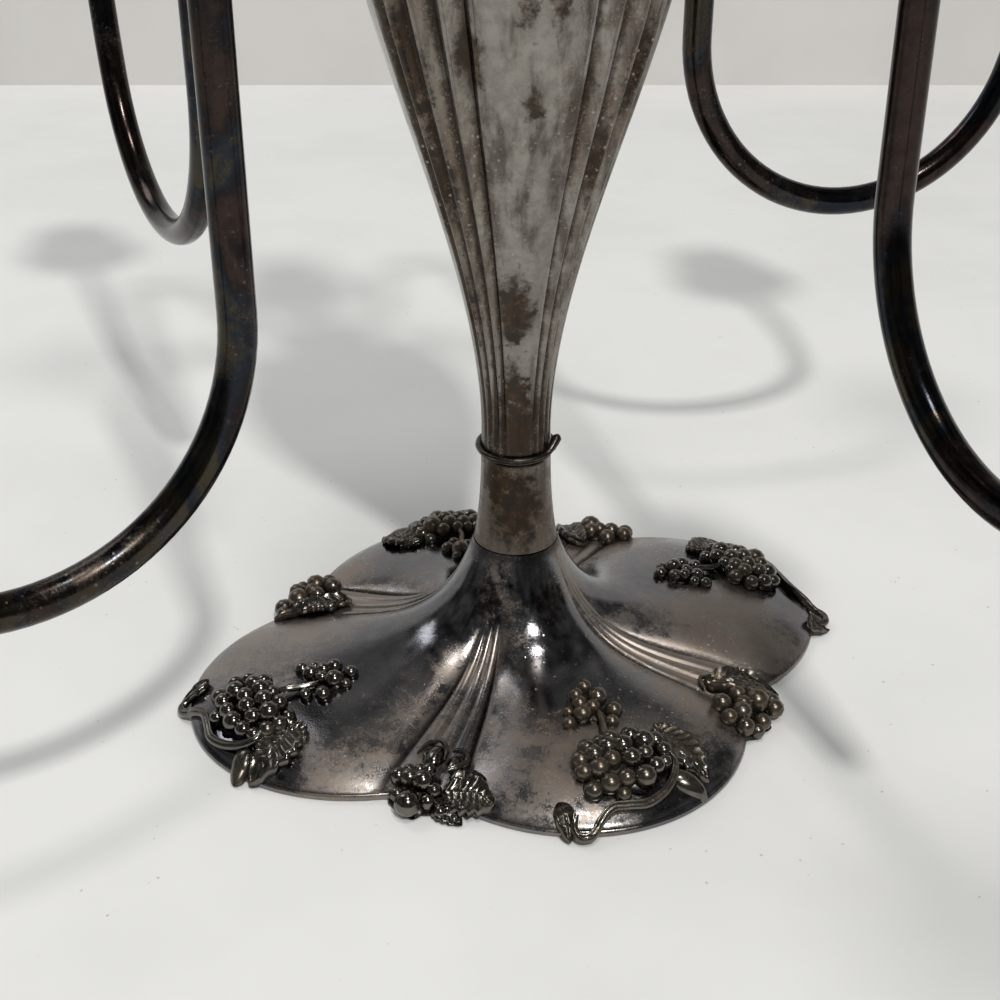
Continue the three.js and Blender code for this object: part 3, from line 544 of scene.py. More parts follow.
def grown(tree, points, edges, attributes, grime, **inputs):
    """The skin that a tree grows on a line or a cloud of points in millimetres."""
    mesh = bpy.data.meshes.new("seed")
    mesh.from_pydata((np.asarray(points) * MM).tolist(), edges, [])
    for name, values in attributes.items():
        mesh.attributes.new(name, "FLOAT", "POINT").data.foreach_set("value", np.asarray(values, np.float32))
    seed = placed("seed", mesh)
    modifier = seed.modifiers.new("tree", "NODES")
    modifier.node_group = tree
    for item in tree.interface.items_tree:
        if item.name in inputs:
            modifier[item.identifier] = inputs[item.name]
    graph = bpy.context.evaluated_depsgraph_get()
    shape = bpy.data.meshes.new_from_object(seed.evaluated_get(graph))
    bpy.data.objects.remove(seed)
    place = np.zeros(len(shape.vertices) * 3)
    shape.vertices.foreach_get("co", place)
    faces = [list(face.vertices) for face in shape.polygons]
    return place.reshape(-1, 3) / MM, faces, np.full(len(shape.vertices), grime)


def tree_of(name, sizes, shape):
    """A Geometry Nodes tree with named inputs and the geometry that shape adds, painted in its Finish."""
    tree = bpy.data.node_groups.new(name, "GeometryNodeTree")
    tree.interface.new_socket("Geometry", in_out="INPUT", socket_type="NodeSocketGeometry")
    for size, (kind, value) in sizes.items():
        tree.interface.new_socket(size, in_out="INPUT", socket_type=f"NodeSocket{kind}").default_value = value
    tree.interface.new_socket("Finish", in_out="INPUT", socket_type="NodeSocketMaterial")
    tree.interface.new_socket("Geometry", in_out="OUTPUT", socket_type="NodeSocketGeometry")
    nodes = Nodes(tree)
    inputs = tree.nodes.new("NodeGroupInput").outputs
    given = {socket.name: Signal(nodes, socket) for socket in inputs if socket.name}
    smooth = nodes.add("GeometryNodeSetShadeSmooth", {"Geometry": shape(nodes, given)})
    real = nodes.add("GeometryNodeRealizeInstances", {"Geometry": smooth})
    painted = nodes.add("GeometryNodeSetMaterial", {"Geometry": real, "Material": given["Finish"]})
    nodes.add("NodeGroupOutput", {"Geometry": painted})
    return tree


def swept(nodes, given):
    line = nodes.add("GeometryNodeMeshToCurve", {"Mesh": given["Geometry"]})
    circle = {"Resolution": given["Sides"], "Radius": given["Thickness"]}
    ring = nodes.add("GeometryNodeCurvePrimitiveCircle", circle)
    taper = nodes.add("GeometryNodeInputNamedAttribute", {"Name": "taper"}, data_type="FLOAT")
    wall = {"Curve": line, "Profile Curve": ring, "Scale": taper, "Fill Caps": True}
    return nodes.add("GeometryNodeCurveToMesh", wall)


tube_tree = tree_of("tube_along_a_line", {"Thickness": ("Float", 0.001), "Sides": ("Int", 16)}, swept)


def flowing(stops, steps):
    """Points on a smooth curve through the stops."""
    stops = np.array(stops, float)
    padded = np.concatenate([[2 * stops[0] - stops[1]], stops, [2 * stops[-1] - stops[-2]]])
    places = []
    for i in range(1, len(padded) - 2):
        a, b, c, d = padded[i - 1 : i + 3]
        square, cube = 2 * a - 5 * b + 4 * c - d, 3 * b - a - 3 * c + d
        for t in np.arange(steps) / steps:
            places.append(0.5 * (2 * b + (c - a) * t + square * t**2 + cube * t**3))
    return np.array(places + [stops[-1]])


def tube(places, radius, finish, taper=((0, 1), (1, 1)), sides=16, grime=0):
    """A round bar along places. taper is shares of its length and of its radius there."""
    edges = [(i, i + 1) for i in range(len(places) - 1)]
    tapers = {"taper": np.interp(np.linspace(0, 1, len(places)), *taper)}
    return grown(tube_tree, places, edges, tapers, grime, Thickness=radius * MM, Sides=sides, Finish=finish)


casting = metal(
    "dark_casting",
    [(0.175, 0.165, 0.15), (0.14, 0.122, 0.1), (0.014, 0.012, 0.011), (0.3, 0.28, 0.24)],
    0.44, 0.6, (0.16, 0.32), grain=0.7, relief=0.08,
)
wire_radius, wire_reach, wire_height, sag, bend_up, stand_off = 1, 11.75, 79.4, 0.4, 3.8, 1.3
wire_stops = []
for share in np.linspace(0, 1, 50):
    azimuth = 366 * share - 14
    bent_up = max(0, share - 0.92) / 0.08
    height = wire_height - sag * math.cos(math.radians(azimuth - 262)) + bend_up * bent_up
    wire_stops.append(polar(wire_reach + stand_off * bent_up, azimuth, height).tolist())
under_radius, under_reach, under_height = 0.4, 11, 76.7
under_stops = [polar(under_reach, azimuth, under_height).tolist() for azimuth in range(236, 321, 4)]
wire_taper = ([0, 0.93, 0.97, 0.99, 1], [1, 1, 1.35, 1.5, 0.8])
under_taper = ([0, 0.1, 0.9, 1], [0.5, 1, 1, 0.5])
ring_skins = [
    tube(flowing(wire_stops, 4), wire_radius, casting, wire_taper, grime=0.6),
    tube(flowing(under_stops, 4), under_radius, casting, under_taper, 12, 0.6),
]
build("waist_wire", ring_skins, casting, "stand", "waist_ring", 60)

# The grape mounts.
# Four castings, one on each lobe: a bunch of grapes with a small one further in, a veined leaf and
# a smooth one beside it, and a stem that winds round it and ends in a curled leaf at the rim.

uneven = 0.06
grape_sizes = {"Grape": ("Float", 0.001), "Uneven": ("Float", uneven), "Seed": ("Int", 3)}


def scattered(nodes, given):
    grape = nodes.add("GeometryNodeMeshIcoSphere", {"Radius": given["Grape"], "Subdivisions": 2})
    chance = {2: 1 - given["Uneven"], 3: 1 + given["Uneven"], "Seed": given["Seed"]}
    spread = nodes.add("FunctionNodeRandomValue", chance, 1, data_type="FLOAT")
    size = nodes.add("GeometryNodeInputNamedAttribute", {"Name": "size"}, data_type="FLOAT")
    values = {"Points": given["Geometry"], "Instance": grape, "Scale": size * spread}
    return nodes.add("GeometryNodeInstanceOnPoints", values)


grape_tree = tree_of("grapes_on_points", grape_sizes, scattered)
mount_floor, grape_floor, grape_growth, droop = 0.9, 0.3, 1.33, 0.55


def beside(site, out, along, lift):
    """A point over the foot, out from a mount's middle and along the rim, bent down past the rim."""
    azimuth, radius = site
    radius = radius + np.asarray(out, float)
    azimuth = azimuth + np.degrees(np.arctan2(along, radius))
    radius = np.hypot(radius, along)
    rim = rim_radius(azimuth)
    share = np.clip((radius - foot_neck_radius) / (rim - foot_neck_radius), 0, 1)
    height = foot_height(azimuth, share) + lift - np.maximum(0, radius - rim) * droop
    return polar(radius, azimuth, height)


def shell(site, outs, alongs, top, under):
    """The grid of a top and an underside over the foot, no lower than a mount may go."""
    upper, lower = beside(site, outs, alongs, top), beside(site, outs[::-1], alongs[::-1], under)
    grid = np.concatenate([upper, lower])
    grid[..., 2] = np.maximum(grid[..., 2], mount_floor)
    return grid


def mound(site, middle, half, swell):
    """The cast cushion under a bunch, round middle (out, along), with a rim of small lobes."""
    turns = np.arange(0, 360, 6)[None, :]
    rings = np.linspace(0, 1, 12)[:, None]
    wave = 1 + (0.07 * np.sin(np.radians(turns * 9)) + 0.06 * np.sin(np.radians(turns * 5 + 60))) * rings
    outs = middle[0] + half[0] * rings * wave * np.cos(np.radians(turns))
    alongs = middle[1] + half[1] * rings * wave * np.sin(np.radians(turns))
    bumps = 0.3 * np.sin(outs * 1.9) * np.sin(alongs * 1.7)
    rise = 0.1 + (swell + bumps) * np.maximum(0, 1 - rings**2) ** 0.5
    # The cushion between and under the grapes is darker: painted shade.
    return skin(shell(site, outs, alongs, rise, -0.7), loop=False, grime=0.75)


def bunch(site, middle, half, swell, grapes, seed, jitter=0.4):
    """A cushion with grapes on it, each (out, along, size), pushed a little out of place."""
    chance = np.random.default_rng(seed)
    places, sizes = [], []
    for out, along, size in grapes:
        out, along = out + chance.uniform(-jitter, jitter), along + chance.uniform(-jitter, jitter)
        spread = ((out - middle[0]) / half[0]) ** 2 + ((along - middle[1]) / half[1]) ** 2
        lift = swell * max(0, 1 - spread) ** 0.5 + size * 0.34
        point = beside(site, out, along, lift)
        point[2] = max(point[2], grape_floor + size * grape_growth * (1 + uneven))
        places.append(point)
        sizes.append(size)
    cushion = mound(site, middle, [0.9 * size for size in half], swell * 0.9)
    grapes_on_it = grown(
        grape_tree, places, [], {"size": sizes}, 0, Grape=grape_growth * MM, Seed=seed, Finish=casting
    )
    return [cushion, grapes_on_it]


def leaf(site, base, tip, width, curl, veins, teeth, lift=0.9):
    """A cast leaf from its base to its tip, each (out, along): toothed, with a midrib and veins."""
    base, tip = np.array(base, float), np.array(tip, float)
    axis = tip - base
    length = np.hypot(*axis)
    side = np.array([-axis[1], axis[0]]) / length
    u = np.linspace(0, 1, 46)[None, :]
    v = np.linspace(-1, 1, 25)[:, None]
    toothed = 1 + teeth * (1 - 2 * np.abs((u * veins) % 1 - 0.5))
    half = np.maximum(width / 2 * np.sin(np.pi * u**0.75) ** 0.7 * toothed, 0.02)
    bow = width * 0.12 * np.sin(np.pi * u)
    outs = base[0] + axis[0] * u + side[0] * (v * half + bow)
    alongs = base[1] + axis[1] * u + side[1] * (v * half + bow)
    rib = 0.55 * np.exp(-((v / 0.1) ** 2)) * (1 - u * 0.6)
    ridges = ((u - np.abs(v) * 0.16) * veins * 1.4) % 1 - 0.5
    vein = teeth * 2.4 * np.exp(-((ridges / 0.13) ** 2)) * (1 - v**2)
    folded = np.minimum(np.abs(v), 0.86) ** 2 * 0.9 - np.maximum(0, np.abs(v) - 0.86) * 3
    rise = lift + curl * (np.sin(np.pi * u) * 0.7 + folded) - curl * 0.5 * u**3 + rib + vein
    grid = shell(site, outs, alongs, rise, (rise - 0.8 - curl * 0.3)[::-1])
    # Painted shade and highlights: the leaf is darker between its veins and darker still underneath, and
    # lighter on its midrib, veins and edges.
    grime = 0.6 - (rib + vein) * 1.3 - np.abs(v) ** 6 * 0.5
    return skin(grid, around=False, grime=np.concatenate([grime, np.full_like(grime, 0.8)]))


def petal(site, base, tip, width, swell):
    """A smooth puffed leaf, like half an egg."""
    base, tip = np.array(base, float), np.array(tip, float)
    axis = (tip - base) / 2
    side = np.array([-axis[1], axis[0]]) / np.hypot(*axis) * width / 2
    turns = np.arange(0, 360, 7.5)[None, :]
    rings = np.linspace(0, 1, 12)[:, None]
    along_it, across = rings * np.cos(np.radians(turns)), rings * np.sin(np.radians(turns))
    across = across * (1 - 0.25 * along_it)
    outs = base[0] + axis[0] * (1 + along_it) + side[0] * across
    alongs = base[1] + axis[1] * (1 + along_it) + side[1] * across
    rise = 0.2 + swell * np.sqrt(np.maximum(0, 1 - rings**2))
    return skin(shell(site, outs, alongs, rise, -0.7), loop=False, grime=0.05)


def stem(site, stops, thick, taper):
    """A stem through stops of (out, along, lift), with a fine line cast along each side of its top."""
    route = flowing(stops, 8)
    strands = [(1, 0, 0, 0.12), (0.32, 0.45, 0.75, 0), (0.32, -0.45, 0.75, 0)]
    skins = []
    for share, offset, rise, grime in strands:
        places = beside(site, route[:, 0] + offset * thick, route[:, 1], route[:, 2])
        places[:, 2] = np.maximum(places[:, 2], mount_floor + thick) + rise * thick
        skins.append(tube(places, thick * share, casting, taper, 12, grime))
    return skins


# Grapes are (out, along, radius before growth) from the middle of their mount
cluster_grapes = [
    (-8.7, -9.5, 2.2), (-5.5, -13.5, 2.2), (-4.8, -9.2, 2.4), (-5.8, -4.5, 2.3), (-8.6, -1.8, 2),
    (-4.4, 0.2, 2.5), (-7.9, 4, 2.3), (-4, 6.6, 2.9), (-9, 8.8, 2), (-5.2, 11.2, 2.2),
    (-1, -14.4, 2.3), (0.2, -9.8, 2.5), (-0.8, -5, 2.4), (1, -0.2, 2.5), (0.4, 5.2, 2.3),
    (-0.8, 11.2, 2.2), (4.2, -14, 2.2), (5, -8.8, 2.4), (5.4, -3.6, 2.3), (6.4, 1.4, 2.8),
    (4.6, 6.6, 2.2), (-8.2, -5.6, 1.8), (3.2, 10, 2), (8.4, -6.4, 1.8),
]
bud_grapes = [
    (-33.2, 1.8, 1.9), (-30, -2.6, 1.9), (-27, 3.2, 2.5), (-26.4, -3.3, 1.9), (-22.2, -4.4, 2.2),
    (-21.4, -9.1, 1.9), (-21.6, 6.2, 2.1), (-24, -0.2, 1.8), (-29.8, 5.8, 1.5), (-17.2, 3, 1.8),
    (-25, -7.2, 1.6),
]
# Each mount's azimuth and radius, and how far along the rim its stem ends
grape_mounts = {
    "right": ((27, 91), -34), "back": ((110, 73), -23.5),
    "left": ((210, 94), -26), "front": ((294, 80), -23.5),
}
cluster_seed, bud_seed, notch_seed = 11, 31, 51
stem_taper = ([0, 0.15, 0.85, 1], [0.7, 1, 1, 0.75])
bud_stem = [(-22, 1, 1.2), (-17.5, 0, 1.6), (-13, -1.5, 2.2), (-9, -1.5, 3)]
round_bunch = [
    (0.8, 12, 3.6), (4.1, 12.6, 3.2), (8, 10.4, 2.6), (11.2, 5.8, 1.9), (12.9, -0.5, 1.5), (11.8, -6.2, 1.4),
]
# The rest of the winding stem: out, share of the way to its end, lift
to_knob = [
    (10.9, 0.46, 1.4), (12.6, 0.66, 1.3), (14.6, 0.83, 1.1), (13.8, 0.95, 1.1), (10.8, 0.98, 1.5),
    (8.6, 0.92, 1.9),
]
for number, (side_name, (site, stem_end)) in enumerate(grape_mounts.items()):
    winding = round_bunch + [(out, stem_end * share, lift) for out, share, lift in to_knob]
    skins = bunch(site, (-1, -1.5), (10.6, 15.2), 3.6, cluster_grapes, cluster_seed + number)
    skins += bunch(site, (-26.2, -1), (7.4, 6.6), 1.3, bud_grapes, bud_seed + number, 0.25)
    skins += stem(site, bud_stem, 1.1, stem_taper) + stem(site, winding, 1.3, stem_taper)
    skins += [
        leaf(site, (-9.5, 12.5), (9.6, 21.5), 12, 2, 6, 0.24),
        leaf(site, (-6, 13), (-9.5, 21), 6.5, 1.2, 4, 0.2),
        petal(site, (5.4, 10.5), (13.2, 19), 6.4, 2.6),
        petal(site, (-1.6, 15.4), (3.4, 19.6), 4, 2.6),
        leaf(site, (3.5, stem_end - 1), (13, stem_end - 2), 5.5, 1.4, 3, 0.1),
    ]
    node = f"grape_mount_{side_name}"
    build(f"grapes_{side_name}", skins, casting, "stand", node, 60)

# The notch mounts.
# Four smaller castings over the reeded fans, arranged from one bunch of larger grapes that
# bulges over the rim, with a leaf or a scroll of leaves beside it.

notch_sites = {
    "back_right": (66, 81), "back_left": (159, 76), "front_left": (254, 83), "front_right": (332, 81),
}
heavy_grapes = [
    (-6, -4.7, 2.5), (-3.5, 2.6, 2.3), (2.3, 5, 3.2), (0.4, -4.2, 2.5), (-1.8, -10, 2.2), (3.4, -8.7, 2.2),
    (6.4, -0.8, 2.3), (7.2, 7, 2.6), (4.9, 11.4, 2), (6.4, -5.4, 1.8), (-1, 8.2, 2), (-0.6, 0.4, 2.2),
]
rim_grapes = [
    (-3.6, -13.4, 2), (-3.4, -10, 2.2), (-2.2, -5.4, 2.5), (1, -12.2, 1.7), (-8.8, -8.6, 1.4),
    (-7.2, -5, 1.7), (2, -2.6, 1.9), (5, -7.8, 3), (3.2, 1.6, 1.5), (-7, -11.4, 1.3), (-1, -1.4, 1.8),
]
lower_scroll = [(-13, -10.5, 1.6), (-17.6, -8.6, 1.8), (-19, -5.4, 2), (-16, -2.4, 2.2), (-12, -1.8, 2.4)]
upper_scroll = [(-16.5, -0.5, 1.4), (-16.4, 3, 1.8), (-13.4, 4.6, 2), (-10.2, 3, 2), (-8, 0.4, 2)]
plain_scroll = [(-13.6, 0.5, 1.2), (-16.4, 3, 1.6), (-15, 6.4, 2), (-10.5, 8, 2.2)]
scroll_taper = ([0, 0.2, 0.8, 1], [0.5, 1, 1, 0.5])
for number, (corner, site) in enumerate(notch_sites.items()):
    if corner == "front_left":
        skins = bunch(site, (-1, -7), (8, 8.2), 2, rim_grapes, notch_seed + number, 0.2)
        skins += stem(site, lower_scroll, 0.8, scroll_taper) + stem(site, upper_scroll, 0.9, scroll_taper)
        skins += [
            petal(site, (-18, -6.5), (-9.5, -5), 7, 2.4),
            petal(site, (-15.5, 1), (-9, 0.8), 4.6, 1.4),
            leaf(site, (-6, 1.5), (-7.6, 12.5), 5.2, 1.6, 4, 0.1),
            leaf(site, (-1.5, 1), (-0.5, 17), 9.5, 2.2, 6, 0.26),
            leaf(site, (2.2, -1), (5.4, 9), 6, 1.2, 5, 0.2),
        ]
    else:
        skins = bunch(site, (0.5, -1), (8.4, 11.4), 2.6, heavy_grapes, notch_seed + number, 0.2)
        skins += stem(site, plain_scroll, 0.7, scroll_taper)
        skins.append(leaf(site, (-14.5, 2), (5.5, 17.5), 9.5, 2.6, 7, 0.14, 1.4))
    node = f"notch_mount_{corner}"
    build(f"leaves_{corner}", skins, casting, "stand", node, 60)

# The shoulder cap, the socket and the seat washer.
# A domed cap closes the body and carries the brass socket that the branch plugs into. A loose
# brass washer lies on the socket's flange, and the branch turns on it.

plate = metal(
    "tarnished_plate_upper",
    [(0.31, 0.30, 0.30), (0.20, 0.16, 0.14), (0.04, 0.032, 0.028), (0.5, 0.47, 0.45)],
    0.46, 0.6, (0.2, 0.42),
)
cap_outline = [
    (33.5, 303.3, 0.3), (33.5, 305.3, 0.6), (29, 306.6, 2.5), (21, 310.6, 5), (14.7, 316, 3),
    (14.5, 319.5, 0.5), (15.3, 320.4, 0.5), (14.5, 322.3, 0.4), (11.6, 322.3, 0.2), (11.6, 315.3, 0.5),
    (17.5, 309.3, 2), (28, 304.9, 0.5), (28, 303.3, 0.2),
]
sleeve_outline = [
    (3.3, 273, 0.2), (11.3, 273, 0.8), (11.3, 322.6, 0.1), (15.3, 322.6, 0.3), (15.3, 324.6, 0.5),
    (9.7, 324.6, 0.3), (9.7, 277, 0.2), (3.3, 277, 0.2),
]
seat_outline = plain(0.2, (9.7, 324.9), (16, 324.9), (16, 326.1), (9.7, 326.1))
build("shoulder", [turned(cap_outline, grime=0.12)], plate, "stand", "shoulder_cap")
build("socket", [turned(sleeve_outline, grime=0.2)], brass, "stand", "socket_sleeve")
build("seat", [turned(seat_outline, grime=0.2)], brass, "seat_washer", "seat_washer")

# The branch's plug, hub and centre column.
# A brass plug with a stud holds the cast hub and the turned column together. The hub is reeded
# like the body, and the four arms are soldered into it.


def reeded(count, depth, low, high, hollow=6):
    """A ripple of rounded reeds outside a hollow, that fade at the ends of a stretch of height."""
    def ripple(azimuths, radius, height):
        reed = 1 - np.abs(np.cos(np.radians(azimuths * count / 2)))
        fade_in = np.clip((height - low) / 2.5, 0, 1) * np.clip((high - height) / 2.5, 0, 1)
        return 1 - depth / np.maximum(radius, 1) * reed**2 * fade_in * (radius > hollow)
    return ripple


plug_outline = [
    (0, 288.6, 0), (8.4, 288.6, 0.3), (9.4, 289.6, 0.3), (9.4, 329.4, 0.2), (4, 329.4, 0.2),
    (4, 366.7, 0.4), (0, 366.7, 0),
]
hub_outline = [
    (9.7, 326.4, 0.2), (17, 326.4, 0.6), (18.2, 327.6, 0.6), (17.6, 328.4, 0.4), (21, 328.6, 1.5),
    (23, 332.4, 3), (22.7, 339.4, 4), (23, 346.4, 3), (20, 349.4, 1.5), (16, 351.4, 1.2),
    (14.2, 352.2, 0.6), (13, 354.4, 0.4), (4.3, 354.4, 0.2), (4.3, 329.7, 0.2), (9.7, 329.7, 0.2),
]
column_outline = [
    (4.3, 354.7, 0.2), (13, 354.7, 0.3), (13, 357.4, 0.6), (9.4, 359.2, 1.5), (7.3, 363.5, 2),
    (7.6, 372, 2), (10.2, 378, 3), (11, 385.6, 4), (9.6, 392, 3), (7.4, 398, 2.5),
    (7, 405.5, 2), (7.4, 408.4, 0.6), (8.4, 409.6, 0.5), (7.5, 411.2, 0.4), (7.5, 412.7, 0.3),
    (2.3, 412.7, 0.1), (2.3, 398.7, 0.2), (4.3, 397.7, 0.2),
]
hub_skin = turned(hub_outline, 288, ripple=reeded(24, 0.7, 331, 348.5), grime=0.12)
column_skin = turned(column_outline, 192, ripple=reeded(16, 0.6, 373, 397), grime=0.12)
build("plug", [turned(plug_outline, grime=0.1)], brass, "branch", "branch_plug")
build("hub", [hub_skin], plate, "branch", "branch_hub")
build("column", [column_skin], plate, "branch", "centre_column")

# The arms.
# Four brass tubes, 9.7 mm thick, plated and gone dark. Each leaves the hub, rises over a crest,
# runs down beside the body and turns up again in a low bend that was made by hand.

tube_finish = metal(
    "dark_plated_tube",
    [(0.1, 0.09, 0.085), (0.04, 0.033, 0.028), (0.02, 0.016, 0.015), (0.22, 0.2, 0.18)],
    0.5, 0.66, (0.17, 0.34), grain=0.9, relief=0.1,
    bands=[
        (0.34, (0.018, 0.015, 0.015)), (0.43, (0.045, 0.032, 0.028)), (0.49, (0.022, 0.019, 0.019)),
        (0.55, (0.022, 0.027, 0.036)), (0.6, (0.055, 0.046, 0.032)), (0.7, (0.05, 0.047, 0.045)),
    ],
)
# Where each arm's leg stands, the way its bend turns from there, and how much higher the bend is
arm_bends = {
    "back_right": (56, -42, 11), "back_left": (154, -37, 3),
    "front_left": (231, -14, -20), "front_right": (331, -42, 0),
}
arm_root_radius, arm_root_height, root_length = 12.3, 339, 23
leg_radius, crest_height, crest_radius = 108, 392, 42
bend_radius, bend_height, bend_end, tip_spread, tip_height = 60, 115, 165, 9, 285
tube_radius, quarter_circle = 4.85, 0.5523


def bezier(a, b, c, d, steps):
    t = np.linspace(0, 1, steps)[1:, None]
    a, b, c, d = [np.array(point, float) for point in (a, b, c, d)]
    return a * (1 - t) ** 3 + b * 3 * t * (1 - t) ** 2 + c * 3 * t**2 * (1 - t) + d * t**3


def heading(azimuth):
    return math.cos(math.radians(azimuth)), math.sin(math.radians(azimuth))


def swung(places, azimuth):
    """Places turned round the candelabrum's axis."""
    cos, sin = heading(azimuth)
    x, y, z = places.T
    return np.stack([x * cos - y * sin, x * sin + y * cos, z], axis=1)


def arm_route(leg_azimuth, turn, rise):
    """The middle line of an arm, from inside the hub to the boss under its light."""
    out = np.array([*heading(turn), 0])
    root = np.array([arm_root_radius, 0, arm_root_height])
    neck = root + [root_length, 0, 0]
    crest = np.array([leg_radius - crest_radius, 0, crest_height])
    leg_top = np.array([leg_radius, 0, crest_height - crest_radius])
    leg_foot = np.array([leg_radius, 0, bend_height + rise + bend_radius])
    over = quarter_circle * crest_radius
    bend = np.array([
        leg_foot + out * bend_radius * (1 - math.cos(angle)) - [0, 0, bend_radius * math.sin(angle)]
        for angle in np.radians(np.linspace(0, bend_end, 46))
    ])
    opening = math.radians(180 - bend_end)
    lean = out * math.sin(opening) + [0, 0, math.cos(opening)]
    tip = leg_foot + out * (2 * bend_radius + tip_spread)
    tip[2] = tip_height
    near_tip = tip.copy()
    near_tip[2] = leg_foot[2] + tip_spread * 4
    return swung(np.concatenate([
        root[None, :] + np.linspace(0, 1, 8)[:, None] * (neck - root),
        bezier(neck, neck + [16, 0, 0], (crest[0] - 20, 0, crest_height), crest, 26),
        bezier(crest, crest + [over, 0, 0], leg_top + [0, 0, over], leg_top, 26),
        np.linspace(leg_top, leg_foot, 24)[1:],
        bend[1:],
        bezier(bend[-1], bend[-1] + lean * tip_spread * 2.5, near_tip, tip, 28),
    ]), leg_azimuth)


ring_outline = [
    (5.15, 23.3, 0.2), (8, 23.3, 0.6), (8, 25, 0.5), (7.2, 25.6, 0.3), (7.4, 27, 0.6), (6.6, 28.3, 0.4),
    (5.15, 28.3, 0.2),
]
arm_tips = {"centre": np.array([0, 0, 406.7])}
for corner, (leg_azimuth, turn, rise) in arm_bends.items():
    route = arm_route(leg_azimuth, turn, rise)
    arm_tips[corner] = route[-1]
    place, faces, _ = tube(route, tube_radius, tube_finish, sides=40)
    # Painted dark reflection: each tube darkens towards its top.
    painted_dark_top = 0.75 * np.clip((place[:, 2] - 170) / 110, 0, 1)
    build(f"tube_{corner}", [(place, faces, painted_dark_top)], tube_finish, "branch", f"arm_{corner}")
    place, faces, clean = turned(ring_outline, 64)
    on_its_side = np.stack([place[:, 2], place[:, 1], -place[:, 0] + arm_root_height], axis=1)
    ring_skin = (swung(on_its_side, leg_azimuth), faces, clean)
    build(f"root_ring_{corner}", [ring_skin], plate, "branch", f"arm_collar_{corner}")

# The lights.
# On each arm a boss, and on each arm and on the column a drip pan with a beaded edge, a reeded
# candle cup screwed down through both, and a loose nozzle that lifts out of the cup for cleaning.

bead_sizes = {"Bead": ("Float", 0.0009), "Beads": ("Int", 84), "Ring": ("Float", 0.03)}


def strung(nodes, given):
    circle = {"Resolution": given["Beads"], "Radius": given["Ring"]}
    ring = nodes.add("GeometryNodeCurvePrimitiveCircle", circle)
    bead = nodes.add("GeometryNodeMeshIcoSphere", {"Radius": given["Bead"], "Subdivisions": 2})
    return nodes.add("GeometryNodeInstanceOnPoints", {"Points": ring, "Instance": bead})


bead_tree = tree_of("beads_on_a_ring", bead_sizes, strung)


def beads(ring, height, middle, size, count):
    """A ring of beads round a light's middle."""
    inputs = {"Bead": size * MM, "Beads": count, "Ring": ring * MM, "Finish": plate}
    place, faces, grime = grown(bead_tree, [(0, 0, 0)], [], {}, 0.1, **inputs)
    return place + np.array([*middle, height]), faces, grime


def raised(level, *outline):
    """A section drawn from a level upwards."""
    return [(radius, level + height, rounding) for radius, height, rounding in outline]


pan_lift, cup_lift, cup_height, head = 6.3, 7.9, 36, 14.2
for name, tip in arm_tips.items():
    middle, base = tip[:2], tip[2]
    pan_bottom, cup_bottom = base + pan_lift, base + cup_lift
    if name != "centre":
        boss = raised(
            base, (2.3, -9, 0.1), (3, -9, 0.2), (3, 0.3, 0.1), (5.45, 0.3, 0.3), (6, 1.2, 0.4),
            (7.5, 2.6, 0.8), (7.4, 4.2, 0.8), (6.5, 5, 0.4), (6.7, 6, 0.3), (2.3, 6, 0.1),
        )
        build(f"boss_{name}", [turned(boss, 64, middle)], plate, "branch", f"tip_boss_{name}")
    pan = raised(
        pan_bottom, (2.3, 0, 0.1), (12, 0, 2), (23.2, 2.1, 5), (30.2, 5.8, 0.6), (30.2, 7, 0.3),
        (22.9, 3.4, 5), (12, 1.3, 2), (2.3, 1.3, 0.1),
    )
    rim_beads = beads(30.1, pan_bottom + 6.4, middle, 0.88, 96)
    pan_skins = [turned(pan, 128, middle, grime=0.15), rim_beads]
    build(f"pan_{name}", pan_skins, plate, "branch", f"drip_pan_{name}")
    cup = raised(
        cup_bottom, (2.3, 0, 0.1), (9, 0, 0.4), (8.8, 1, 0.4), (8, 2.5, 0.6), (11.4, 5.6, 2),
        (14.2, 8.4, 2.5), (15.2, 15, 5), (14.8, 27, 5), (15, 32.6, 0.8), (16, 33.6, 0.5),
        (15.6, 34.8, 0.4), (16, 36, 0.3), (12.4, 36, 0.2), (12.4, 10.7, 0.2), (4.8, 10.7, 0.2),
        (4.8, 6, 0.2), (2.3, 6, 0.1),
    )
    reeds = reeded(20, 0.55, cup_bottom + 5, cup_bottom + 31.5, 12.6)
    build(f"cup_{name}", [turned(cup, 200, middle, reeds, 0.12)], plate, "branch", f"candle_cup_{name}")
    screw = raised(
        base, (0, -8, 0), (1.6, -8, 0), (2, -7.4, 0.1), (2, head, 0.1), (4.5, head, 0.2),
        (4.5, head + 1.4, 0.5), (3.4, head + 2.2, 0.4), (0, head + 2.2, 0),
    )
    screw_skin = turned(screw, 40, middle)
    build(f"screw_{name}", [screw_skin], brass, "branch", f"cup_screw_{name}")
    nozzle = raised(
        cup_bottom + cup_height, (12.1, -25, 0.4), (12.1, 0.3, 0.4), (18, 0.9, 1.5), (22, 1.6, 0.8),
        (23, 3.2, 0.4), (21.8, 3.6, 0.5), (19, 2.6, 1.5), (12.4, 2, 0.8), (11, 2.6, 0.4),
        (11, -23.5, 0.3), (4.5, -23.5, 0.2), (4.5, -25, 0.2),
    )
    nozzle_skin = turned(nozzle, 128, middle, grime=0.1)
    build(f"loose_nozzle_{name}", [nozzle_skin], plate, f"nozzle_{name}", f"nozzle_{name}")

# The studio.
# A pale table with faint specks, a low board behind it and the camera close over the table, looking
# down at the foot as the photograph does. Above the board the world shows the board's tone.


